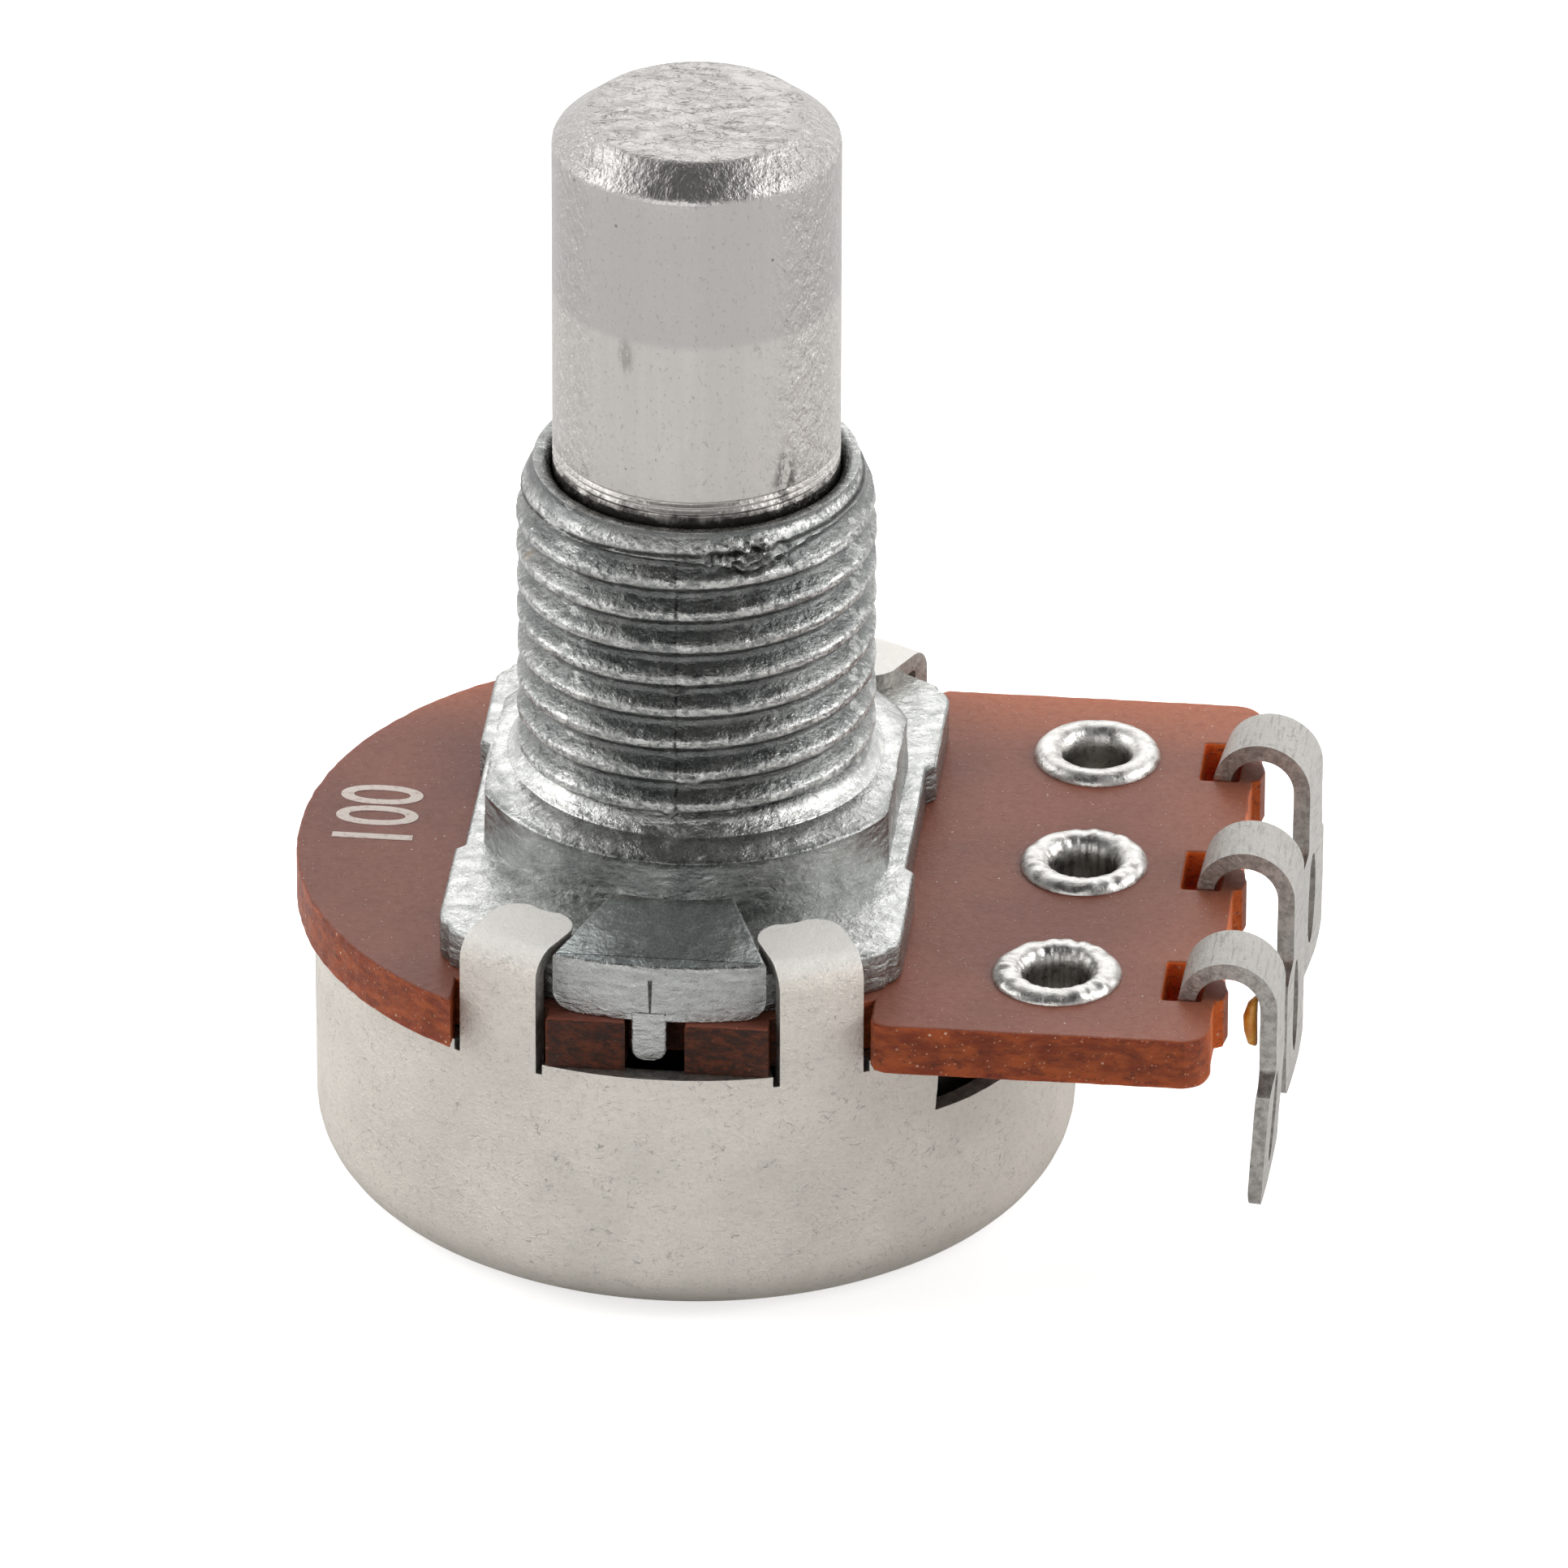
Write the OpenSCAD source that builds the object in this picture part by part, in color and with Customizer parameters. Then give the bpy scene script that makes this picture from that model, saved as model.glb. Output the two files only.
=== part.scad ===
// Panel potentiometer with a plain round shaft, a threaded bushing and hooked solder lugs.
// The origin is on the shaft's axis at the can's flat base, +Z runs up the shaft and +X to the lugs.

/* [Shaft] */
// Diameter of the shaft
shaft_d = 6.35; // [5.8:0.05:6.5]
// Height of the shaft's end above the can's base
shaft_top = 25.7; // [20:0.1:40]
// Radial width of the bevel on the shaft's end
bevel_w = 0.7; // [0.2:0.05:1.2]
// Height of the bevel on the shaft's end
bevel_h = 0.6; // [0.2:0.05:1.2]
// Depth of the fine turned rings where the shaft leaves the bushing
ring_cut = 0.12; // [0.11:0.01:0.14]
// Number of fine turned rings
ring_n = 3; // [2:1:4]
// Distance from one fine turned ring to the next
ring_step = 0.21; // [0.19:0.01:0.22]
// Depth of the lowest turned ring below the bushing's mouth
ring_drop = 0.2; // [0.1:0.05:0.3]
// Radial step from the shaft down to the flatted tail that carries the rotor
tail_step = 0.875; // [0.8:0.025:1.2]
// Depth of each flat on the tail
tail_flat = 0.6; // [0.4:0.05:0.8]
// Radial width of the swaged rim that holds the rotor on the tail
swage_w = 0.3; // [0.1:0.05:0.5]
// Height of the swaged rim
swage_h = 0.25; // [0.1:0.05:0.4]

/* [Bushing] */
// Wall between the bore and the thread's root
barrel_wall = 0.405; // [0.3:0.005:0.6]
// Pitch of the thread
thread_pitch = 0.794; // [0.6:0.001:1]
// Depth of the thread
thread_depth = 0.36; // [0.2:0.01:0.45]
// Width of the flat on each thread crest
crest_flat = 0.16; // [0.08:0.01:0.2]
// Width of the flat at each thread root
root_flat = 0.1; // [0.05:0.01:0.15]
// Height of the first thread crest above the face that meets the panel
crest_up = 0.595; // [0.55:0.005:0.8]
// Height of the bushing above the face that meets the panel
bushing_h = 7.3; // [5:0.1:12]
// Height of the threadless lead at the bushing's mouth
lead_h = 0.85; // [0.8:0.05:1.2]
// Extra radius of the low half crest in the lead, over the rim
lead_rise = 0.2; // [0.1:0.01:0.3]
// Wall of the bushing at its rim
rim_wall = 0.285; // [0.25:0.005:0.36]
// Depth of the countersink in the bushing's mouth
mouth_h = 0.35; // [0.1:0.05:0.6]
// Wall left between the countersink and the rim
mouth_wall = 0.06; // [0.02:0.01:0.1]

/* [Boss and mounting plate] */
// Radial width of the boss under the panel, outside the thread
boss_out = 0.98; // [0.8:0.02:1.2]
// Height of the boss above the plate
boss_h = 1.5; // [0.8:0.1:3]
// Depth of each of the boss's two flats
boss_flat = 0.45; // [0.3:0.05:0.5]
// Radial width of the cast fillet at the barrel's foot, outside the thread
foot_w = 0.03; // [0.01:0.01:0.06]
// Height of that fillet
foot_h = 0.12; // [0.05:0.01:0.14]
// Radial width of the sloping shoulder around the face that meets the panel
shoulder_w = 0.5; // [0.5:0.02:0.6]
// Height of that shoulder
shoulder_h = 0.18; // [0.1:0.02:0.3]
// Extra radius of the thin parting ridge below the shoulder
ridge = 0.05; // [0.02:0.01:0.1]
// Height of the parting ridge
ridge_h = 0.06; // [0.04:0.01:0.1]
// Extra radius of the boss at its foot
draft = 0.06; // [0:0.01:0.1]
// Thickness of the plate
plate_t = 1; // [0.8:0.05:1.4]
// Distance from the can's outer face in to the plate's rounded ends
plate_in = 0.75; // [0.6:0.05:1]
// Distance that the plate's sides stand out from the boss
plate_side = 0.17; // [0.1:0.01:0.4]
// Depth of the waist in the plate's sides
waist_in = 0.2; // [0.1:0.01:0.3]
// Length of the plate's waist
waist_l = 4.6; // [3.5:0.1:6]
// Radius of the plate's four corners
plate_corner = 0.45; // [0.2:0.05:0.8]
// Gap between each front corner of a lug and the tab beside it
lug_side = 0.147; // [0.05:0.001:0.3]
// Gap between a lug and the line of the tab's edge, where the lug meets the boss
lug_root = 0.02; // [0.02:0.01:0.2]
// Length of the straight cheek at each front corner of a lug
lug_cheek = 0.4; // [0.3:0.05:0.6]
// Height of each lug above the plate
lug_rise = 0.38; // [0.2:0.02:0.44]
// Gap between a lug's round front and the inside of the can
lug_gap = 0.01; // [0.01:0.01:0.1]
// Radius of the lower corners of each lug
lug_corner = 0.45; // [0.2:0.05:0.6]
// Width of the key that drops from the front lug
key_w = 0.8; // [0.5:0.05:1]
// Height of the key's end above the board's underside
key_up = 0.22; // [0.1:0.02:0.6]
// Depth of the key from front to back
key_depth = 0.7; // [0.4:0.05:1]
// Sideways offset of the key
key_off = -0.2; // [-0.3:0.05:0.1]
// Width of the fine nick in the lug's face above the key
nick_w = 0.09; // [0.05:0.01:0.15]
// Depth of the fine nick
nick_depth = 0.06; // [0.03:0.01:0.1]
// Height of the fine nick
nick_h = 0.75; // [0.4:0.05:0.9]
// Height of the nick's foot above the board
nick_up = 0.06; // [0.02:0.01:0.1]
// Wall of the hub that passes down through the board
hub_wall = 0.995; // [0.9:0.005:1.1]
// Drop of the hub below the board
hub_drop = 0.3; // [0.15:0.05:0.5]
// Gap between the stop finger's end and the rotor
finger_gap = 0.15; // [0.1:0.01:0.3]
// Share of the hub's wall that the stop finger takes
finger_part = 0.553; // [0.4:0.001:0.6]
// Angle that the stop finger covers, from end to end
finger_angle = 30; // [20:1:34]

/* [Board] */
// Distance that the board's round edge stands out past the can
board_over = 0.38; // [0.1:0.02:0.6]
// Thickness of the board
board_t = 1.2; // [0.8:0.05:1.6]
// Width of the tongue beside the outer terminals
tongue_side = 2.69; // [2.2:0.01:3]
// Length of the tongue past the terminals' risers
tongue_over = 0.62; // [0.55:0.01:0.7]
// Radius of the tongue's two round corners
tongue_corner = 0.65; // [0.3:0.05:1]
// Gap between a tab's outer edge and the end of the window cut in the board
window_gap = 0.127; // [0.05:0.001:0.3]
// Gap between the inside of the tabs and the board's edge in the tab slots
slot_gap = 0.05; // [0.03:0.01:0.2]
// Gap between a tab's inner edge and the land between the tab slots
land_gap = 0.077; // [0.03:0.001:0.2]
// Overlap of the land's straight edge on the can's rim
land_over = 0.1; // [0.05:0.01:0.3]
// Room on each side of the key in its notch
notch_side = 0.26; // [0.2:0.02:0.4]
// Sideways offset of the notch from the key
notch_off = 0.14; // [0:0.02:0.14]
// Room behind the key in its notch
notch_back = 0.19; // [0.1:0.01:0.4]
// Reach of the torn stubs on the tongue's end
stub_l = 0.26; // [0.1:0.02:0.3]
// Width of the torn stubs
stub_w = 1.1; // [0.6:0.1:1.4]
// Thickness of the printed track and conductors
print_t = 0.04; // [0.03:0.01:0.08]
// Start of the collector ring, as a share of the way from the hub to the can's wall
collector_in = 0.13; // [0.08:0.005:0.16]
// End of the collector ring, as the same kind of share
collector_out = 0.338; // [0.28:0.002:0.36]
// Start of the resistive track, as the same kind of share
track_in = 0.442; // [0.4:0.002:0.5]
// End of the resistive track, as the same kind of share
track_out = 0.727; // [0.66:0.001:0.76]
// Half angle between the track's two ends
track_angle = 40; // [34:1:42]
// Half angle between the two end conductors
pad_angle = 27; // [26:1:30]
// Width of the conductors
conductor_w = 1.2; // [0.8:0.1:1.6]
// Width of the conductors' pads outside the terminals' rings
pad_w = 0.15; // [0.05:0.05:0.3]

/* [Eyelets] */
// Distance of the two outer eyelets past the can's outer face, along X
eyelet_out = 0; // [-0.1:0.05:0.3]
// Extra distance to the middle eyelet
eyelet_shift = 0.15; // [0:0.05:0.3]
// Radial width of the flange on top of the board, outside the barrel
flange_w = 0.52; // [0.4:0.02:0.6]
// Height of the flange's crown above the board
flange_h = 0.26; // [0.2:0.02:0.4]
// Outer diameter of the barrel
barrel_d = 1.9; // [1.7:0.05:2]
// Wall of the barrel
eyelet_wall = 0.22; // [0.18:0.01:0.3]
// Depth of the funnel in the barrel's mouth below the board's face
funnel_h = 0.1; // [0.05:0.01:0.2]
// Radial width of the funnel halfway up the flange
funnel_w = 0.12; // [0.05:0.01:0.16]
// Radial width of the clinched end below the board, outside the barrel
clinch_w = 0.35; // [0.25:0.01:0.45]
// Height of the clinched end
clinch_h = 0.2; // [0.15:0.01:0.3]

/* [Terminals] */
// Distance between neighbouring terminals
pitch = 5; // [4.8:0.05:5.1]
// Thickness of the terminal strip
strip_t = 0.38; // [0.3:0.02:0.42]
// Width of the terminal strip
strip_w = 1.55; // [1.2:0.05:1.6]
// Radial width of the strip's ring under the eyelet, outside the barrel
ring_w = 0.55; // [0.45:0.01:0.65]
// Inner radius of the strip's bend under the board
bend_in = 0.08; // [0.05:0.01:0.1]
// Distance from the outer eyelets to the strip's riser in its board slot
riser_l = 2.93; // [2.8:0.01:3.1]
// Room before and behind the strip in its board slot
slot_room = 0.25; // [0.2:0.01:0.3]
// Distance that the slot is shifted towards the shaft
slot_shift = 0.12; // [0:0.01:0.14]
// Room on each side of the strip in its board slot
slot_ease = 0.075; // [0.07:0.005:0.2]
// Radius of the hook to the middle of the strip
hook_r = 0.92; // [0.9:0.01:1]
// Height of the hook's crown above the board
hook_h = 0.94; // [0.7:0.02:1.4]
// Length of the straight leg below the hook
leg_l = 1.45; // [1:0.05:2]
// Width of the flattened lug
lug_blade_w = 2.55; // [2:0.05:2.8]
// Thickness of the flattened lug
lug_blade_t = 0.31; // [0.2:0.01:0.34]
// Length of the flattened lug
lug_blade_l = 3.4; // [3.2:0.05:4]
// Length of the lug's widening shoulder
blade_shoulder = 0.5; // [0.3:0.05:1]
// Radius of the corners at the lug's tip
tip_r = 0.55; // [0.3:0.05:0.8]
// Distance from the wire hole to the lug's tip
eye_end = 0.65; // [0.4:0.05:1.2]
// Width of the wire hole in the lug
eye_w = 0.75; // [0.5:0.05:1]
// Distance from the crease down to the wire hole
eye_off = 0.45; // [0.3:0.05:0.6]
// Turn of the front, middle and rear hooks about their slots
hook_turn = [2, 3, 6]; // [0:1:7]
// Inward lean of the front, middle and rear lugs
blade_lean = [3.5, 0.3, 1]; // [0:0.1:4]

/* [Can] */
// Diameter of the can
can_d = 17; // [16:0.1:19]
// Height of the can's rim, where the board sits
can_h = 6.2; // [6:0.1:8]
// Thickness of the can's sheet
sheet = 0.45; // [0.4:0.01:0.46]
// Inner radius of the can's bottom edge
corner_in = 1; // [0.3:0.05:1.5]
// Half angle of the opening in the wall under the tongue
mouth_angle = 45; // [44:1:52]
// Depth of that opening below the rim
mouth_drop = 1.85; // [1.6:0.05:3]
// Width of the folded tabs
tab_w = 1.96; // [1.7:0.02:2]
// Angle of each tab from the front-to-back line
tab_angle = 25.1; // [24:0.1:26]
// Length of each tab's fold, from the can's outer face
fold_l = 2.05; // [1.4:0.05:2.2]
// Inner radius of the fold
fold_in = 0.15; // [0.05:0.01:0.25]
// Radius of the corners at each tab's end
tab_corner = 0.65; // [0.3:0.05:0.8]
// Width of the relief nicks beside each tab
relief_w = 0.14; // [0.08:0.02:0.16]
// Depth of the relief nicks below the rim
relief_h = 0.25; // [0.1:0.05:0.4]

/* [Rotor and wiper] */
// Gap between the rotor's disc and the can's wall
rotor_gap = 0.75; // [0.4:0.05:1]
// Thickness of the rotor's disc
rotor_t = 1.2; // [0.8:0.1:1.6]
// Drop of the rotor's face below the board
rotor_drop = 1.6; // [1.58:0.01:1.66]
// Gap between the rotor's hub and the stop finger
hub_side = 0.15; // [0.1:0.01:0.3]
// Distance from the rotor's hub up to the retaining ring's groove
hub_under = 0.4; // [0.2:0.02:0.6]
// Depth of the rotor's hub below the disc
hub_below = 0.9; // [0.5:0.1:1.2]
// Gap between the rotor's stop lug and the bushing's hub above it
stop_gap = 0.3; // [0.15:0.05:0.6]
// Angle that the rotor's stop lug covers, from end to end
stop_angle = 28; // [20:1:28]
// Thickness of the wiper's sheet
wiper_t = 0.2; // [0.15:0.01:0.25]
// Half angle of the wiper's base plate
wiper_angle = 22; // [18:1:24]
// Length of each wiper arm
arm_l = 2.4; // [2:0.1:2.8]
// Length of the down-turned tip of each arm
arm_tip = 0.4; // [0.2:0.05:0.6]
// Width of each wiper arm
arm_w = 0.7; // [0.4:0.05:0.8]
// Diameter of the contact bead on each arm
bead_d = 0.5; // [0.4:0.02:0.6]
// Diameter of the two pins that hold the wiper
stake_d = 0.8; // [0.6:0.05:1]
// Radial width of the pins' heads
stake_head = 0.24; // [0.1:0.02:0.3]
// Angle of each pin from the middle of the wiper's plate
stake_angle = 13; // [10:1:14]
// Thickness of the retaining ring
clip_t = 0.44; // [0.3:0.02:0.46]
// Share of the free ledge under the hub that the retaining ring covers
clip_part = 0.663; // [0.4:0.001:0.8]
// Depth of the retaining ring's groove in the shaft
groove = 0.65; // [0.4:0.05:0.8]
// Half angle of the opening in the retaining ring
clip_angle = 25; // [15:1:40]

/* [Fits] */
// Radial running clearance of the shaft in the bushing
run_gap = 0.03; // [0.01:0.01:0.06]
// Clearance round pieces that pass through the board
hole_gap = 0.05; // [0.03:0.01:0.1]
// Axial clearance beside the retaining ring and at the wiper's beads
end_gap = 0.03; // [0.02:0.01:0.05]
// Clearance between the rotor's bore and the shaft's tail
tail_gap = 0.03; // [0.02:0.01:0.05]

/* [Hidden] */
$fn = 96;

// Levels above the can's base
board_z = can_h;
plate_z = board_z + board_t;
plate_top = plate_z + plate_t;
boss_top = plate_top + boss_h;
bushing_top = boss_top + bushing_h;
hub_z = board_z - hub_drop;
print_z = board_z - print_t;
strip_z = print_z - strip_t;
groove_z = hub_z - clip_t - 2 * end_gap;
rotor_top = board_z - rotor_drop;
finger_z = rotor_top + finger_gap;
rotor_z = rotor_top - rotor_t;
hub_top = groove_z - hub_under;
rotor_low = rotor_z - hub_below;

// Radii, from the shaft outwards and from the can inwards
shaft_r = shaft_d / 2;
tail_r = shaft_r - tail_step;
bore_r = shaft_r + run_gap;
root_r = bore_r + barrel_wall;
thread_r = root_r + thread_depth;
rim_r = bore_r + rim_wall;
boss_r = thread_r + boss_out;
hub_r = bore_r + hub_wall;
finger_r = hub_r - finger_part * hub_wall;
clip_r = bore_r + clip_part * (finger_r - bore_r);
can_r = can_d / 2;
cup_r = can_r - sheet;
lug_r = cup_r - lug_gap;
board_r = can_r + board_over;
slot_r = cup_r - slot_gap;
can_corner = sheet + corner_in;
fold_r = sheet + fold_in;

// Rings under the board, between the hub and the can's wall
room = cup_r - hub_r;
collector_r1 = hub_r + collector_in * room;
collector_r2 = hub_r + collector_out * room;
track_r1 = hub_r + track_in * room;
track_r2 = hub_r + track_out * room;
stake_r = (collector_r1 + track_r2) / 2;

// Places along X and Y
eyelet_x = can_r + eyelet_out;
riser_x = eyelet_x + riser_l;
tongue_x = riser_x + tongue_over;
tongue_y = pitch + tongue_side;
land_y = cup_r + land_over;
notch_y = lug_r - key_depth - notch_back;
land_x = cup_r * sin(tab_angle) - tab_w / 2 * cos(tab_angle) - land_gap;
window_x = can_r * sin(tab_angle) + tab_w / 2 * cos(tab_angle) + window_gap;

// Eyelet, its ring and its hole
barrel_r = barrel_d / 2;
eyelet_r = barrel_r - eyelet_wall;
flange_r = barrel_r + flange_w;
ring_r = barrel_r + ring_w;
hole_r = barrel_r + hole_gap;

// Angle of the wiper's plate, which puts the contact on the track opposite the terminals
plate_a = 180 - wiper_angle - 2 * asin(arm_l / (track_r1 + track_r2));

// Thread crests, counted up from the boss
crest_z = boss_top + crest_up;
crest_n = floor((bushing_h - lead_h - crest_up) / thread_pitch) + 1;

// Hook of a terminal: height of its centre, and the place of its outer leg
hook_z = plate_z + hook_h - hook_r - strip_t / 2;
leg_x = riser_x + 2 * hook_r;
crease_z = hook_z - leg_l;

// A cut reaches this far past the face it opens
cut = 1;

// Distance from the middle line to a tab's inner edge, at distance y in front of the axis
function tab_edge(y) = (y * sin(tab_angle) - tab_w / 2) / cos(tab_angle);

// Sector of a circle, from angle a1 to angle a2
module sector(r, a1, a2) {
    steps = 12;
    rim = [for (i = [0:steps]) let (a = a1 + (a2 - a1) * i / steps) r * [cos(a), sin(a)]];
    polygon(concat([[0, 0]], rim));
}

// Arc-shaped band with true round edges
module band(r1, r2, a1, a2) {
    intersection() {
        difference() {
            circle(r2);
            circle(r1);
        }
        sector(2 * r2, a1, a2);
    }
}

module both_ends() {
    children();
    mirror([0, 1, 0]) children();
}

module both_sides() {
    children();
    mirror([1, 0, 0]) children();
}

// Places its children at the centre of one eyelet or at one terminal's row
module at_eyelet(row) {
    translate([eyelet_x + (row == 0 ? eyelet_shift : 0), row * pitch, 0]) children();
}

// Part of the tail between its two flats, grown by a given distance
module between_flats(grow) {
    flats = tail_r - tail_flat + grow;
    intersection() {
        children();
        translate([-can_r, -flats, 0]) cube([can_d, 2 * flats, shaft_top]);
    }
}

// Shaft: bevelled end, fine turned rings at the bushing, clip groove, flatted and swaged tail
module shaft() {
    ring_z = bushing_top - ring_drop + ring_cut;
    color("lightgray") {
        rotate_extrude() difference() {
            polygon([
                [0, hub_top], [shaft_r, hub_top], [shaft_r, shaft_top - bevel_h],
                [shaft_r - bevel_w, shaft_top], [0, shaft_top]
            ]);
            translate([shaft_r - groove, groove_z]) square([2 * groove, hub_z - groove_z]);
            for (i = [0:ring_n - 1])
                translate([shaft_r, ring_z + i * ring_step]) circle(ring_cut, $fn = 24);
        }
        between_flats(0) translate([0, 0, rotor_low - swage_h / 2])
            cylinder(r = tail_r, h = groove_z - rotor_low);
        between_flats(swage_w) translate([0, 0, rotor_low - swage_h])
            cylinder(r1 = tail_r, r2 = tail_r + swage_w, h = swage_h);
    }
}

// Open ring in the shaft's groove, under the hub
module retaining_ring() {
    color("dimgray") translate([0, 0, groove_z + end_gap]) linear_extrude(clip_t) difference() {
        circle(clip_r);
        circle(shaft_r - groove + end_gap);
        rotate([0, 0, 90]) sector(2 * clip_r, -clip_angle, clip_angle);
    }
}

// Rotor: moulded disc with a flatted bore, a stop lug and two pins for the wiper
module rotor() {
    half_z = rotor_z + rotor_t / 2;
    color("black") difference() {
        union() {
            translate([0, 0, rotor_z]) cylinder(r = cup_r - rotor_gap, h = rotor_t);
            translate([0, 0, rotor_low]) cylinder(r = finger_r - hub_side, h = hub_top - rotor_low);
            translate([0, 0, half_z]) linear_extrude(hub_z - stop_gap - half_z)
                rotate([0, 0, 180]) band(finger_r + hole_gap, hub_r, -stop_angle / 2, stop_angle / 2);
            at_stakes() {
                translate([0, 0, half_z]) cylinder(d = stake_d, h = rotor_t / 2 + 3 * wiper_t / 2);
                translate([0, 0, rotor_top + wiper_t])
                    cylinder(d1 = stake_d + 2 * stake_head, d2 = stake_d, h = wiper_t);
            }
        }
        translate([0, 0, rotor_low - cut]) linear_extrude(can_h) intersection() {
            circle(tail_r + tail_gap);
            square([2 * can_r, 2 * (tail_r - tail_flat + tail_gap)], center = true);
        }
    }
}

module at_stakes() {
    for (side = [-1, 1])
        rotate([0, 0, plate_a + side * stake_angle]) translate([stake_r, 0, 0]) children();
}

// Wiper: sprung sheet with one arm on the collector ring and one on the track
module wiper() {
    color("goldenrod") {
        translate([0, 0, rotor_top]) linear_extrude(wiper_t) difference() {
            band(collector_r1, track_r2, plate_a - wiper_angle, plate_a + wiper_angle);
            at_stakes() circle(stake_d / 2 + hole_gap);
        }
        for (r = [(collector_r1 + collector_r2) / 2, (track_r1 + track_r2) / 2])
            rotate([0, 0, plate_a + wiper_angle]) translate([r, 0, rotor_top])
                rotate([0, 0, asin(arm_l / 2 / r)]) wiper_arm();
    }
}

// Arm that rises to the board, turns down at its end and carries a round bead
module wiper_arm() {
    lift = rotor_drop - print_t - end_gap - bead_d / 2;
    rotate([90, 0, 90]) translate([0, 0, -arm_w / 2]) linear_extrude(arm_w) polygon([
        [-arm_w, 0], [0, 0], [arm_l, lift - wiper_t], [arm_l + arm_tip, lift - 2 * wiper_t],
        [arm_l + arm_tip, lift - wiper_t], [arm_l, lift], [0, wiper_t], [-arm_w, wiper_t]
    ]);
    translate([0, arm_l, lift]) sphere(d = bead_d, $fn = 32);
}

// Half profile of the bushing's hub and barrel, with one ring for each turn of the thread
module barrel_profile() {
    flank = (thread_pitch - crest_flat - root_flat) / 2;
    crests = [for (i = [0:crest_n - 1]) let (z = crest_z + i * thread_pitch) each [
        [root_r, z - crest_flat / 2 - flank], [thread_r, z - crest_flat / 2],
        [thread_r, z + crest_flat / 2], [root_r, z + crest_flat / 2 + flank]
    ]];
    polygon(concat(
        [
            [bore_r, hub_z], [hub_r, hub_z], [hub_r, plate_top], [thread_r + foot_w, plate_top],
            [thread_r + foot_w, boss_top], [root_r, boss_top + foot_h]
        ],
        crests,
        [
            [rim_r + lead_rise, bushing_top - lead_h / 2], [rim_r, bushing_top],
            [rim_r - mouth_wall, bushing_top], [bore_r, bushing_top - mouth_h]
        ]
    ));
}

// Outline of the plate: round ends, straight sides and a slightly narrower waist
module plate_outline() {
    side = boss_r + plate_side;
    half = can_r - plate_in;
    corner_y = sqrt(pow(half, 2) - pow(side, 2));
    difference() {
        intersection() {
            circle(half);
            square(2 * [side, half], center = true);
        }
        both_sides() translate([side, 0]) polygon([
            [-waist_in, -waist_l / 2], [-waist_in, waist_l / 2], [0, waist_l / 2 + waist_in],
            [cut, waist_l / 2 + waist_in], [cut, -waist_l / 2 - waist_in], [0, -waist_l / 2 - waist_in]
        ]);
        both_sides() both_ends() translate([side - plate_corner, corner_y - plate_corner / 2])
            corner_waste(plate_corner);
    }
}

// Raised lug at the front of the plate: fan-shaped above, with a round front and round lower corners
module plate_lug() {
    h = plate_t + lug_rise;
    half = tab_edge(lug_r - lug_cheek) - lug_side;
    root = tab_edge(boss_r) - lug_root;
    intersection() {
        translate([0, 0, plate_z]) cylinder(r = lug_r, h = h);
        translate([0, -lug_r / 2, plate_z]) rotate([90, 0, 0]) linear_extrude(lug_r / 2 + cut) {
            translate([-half, lug_corner]) square([2 * half, h - lug_corner]);
            translate([lug_corner - half, 0]) square([2 * (half - lug_corner), h]);
            both_sides() translate([half - lug_corner, lug_corner]) circle(lug_corner);
        }
        translate([0, 0, plate_z - cut]) linear_extrude(h + 2 * cut) polygon([
            [-half, -can_r], [half, -can_r], [half, -lug_r + lug_cheek],
            [root, -boss_r], [-root, -boss_r], [-half, -lug_r + lug_cheek]
        ]);
    }
}

// Bushing: die-cast barrel, boss, plate, lugs, key, hub and stop finger in one piece
module bushing() {
    shoulder_z = boss_top - shoulder_h;
    color("slategray") {
        rotate_extrude() barrel_profile();
        intersection() {
            rotate_extrude() polygon([
                [bore_r, plate_top - cut / 2], [boss_r + draft, plate_top - cut / 2],
                [boss_r + draft, plate_top],
                [boss_r, shoulder_z - 2 * ridge_h], [boss_r + ridge, shoulder_z - ridge_h],
                [boss_r, shoulder_z], [boss_r - shoulder_w, boss_top], [bore_r, boss_top]
            ]);
            translate([boss_flat - boss_r, -can_r, 0])
                cube([2 * (boss_r - boss_flat), can_d, 2 * boss_top]);
        }
        translate([0, 0, plate_z]) linear_extrude(plate_t) difference() {
            plate_outline();
            circle(bore_r);
        }
        mirror([0, 1, 0]) plate_lug();
        difference() {
            plate_lug();
            nick();
        }
        key();
        translate([0, 0, finger_z]) linear_extrude(hub_z - finger_z + cut / 4)
            band(finger_r, hub_r - hole_gap, -finger_angle / 2, finger_angle / 2);
    }
}

// Key under the front lug, with a round lower end
module key() {
    round_z = board_z + key_up + key_w / 4;
    intersection() {
        translate([key_off, -lug_r / 2, 0]) rotate([90, 0, 0]) linear_extrude(lug_r / 2) {
            translate([-key_w / 2, round_z]) square([key_w, plate_z + plate_t / 2 - round_z]);
            translate([0, round_z]) scale([1, 0.5]) circle(d = key_w);
        }
        difference() {
            cylinder(r = lug_r, h = 2 * plate_z);
            translate([0, 0, -cut]) cylinder(r = lug_r - key_depth, h = 2 * plate_z + 2 * cut);
        }
    }
}

// Fine nick in the lug's front face, above the key
module nick() {
    translate([key_off - nick_w / 2, -lug_r - cut, plate_z + nick_up])
        cube([nick_w, cut + nick_depth, nick_h]);
}

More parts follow.
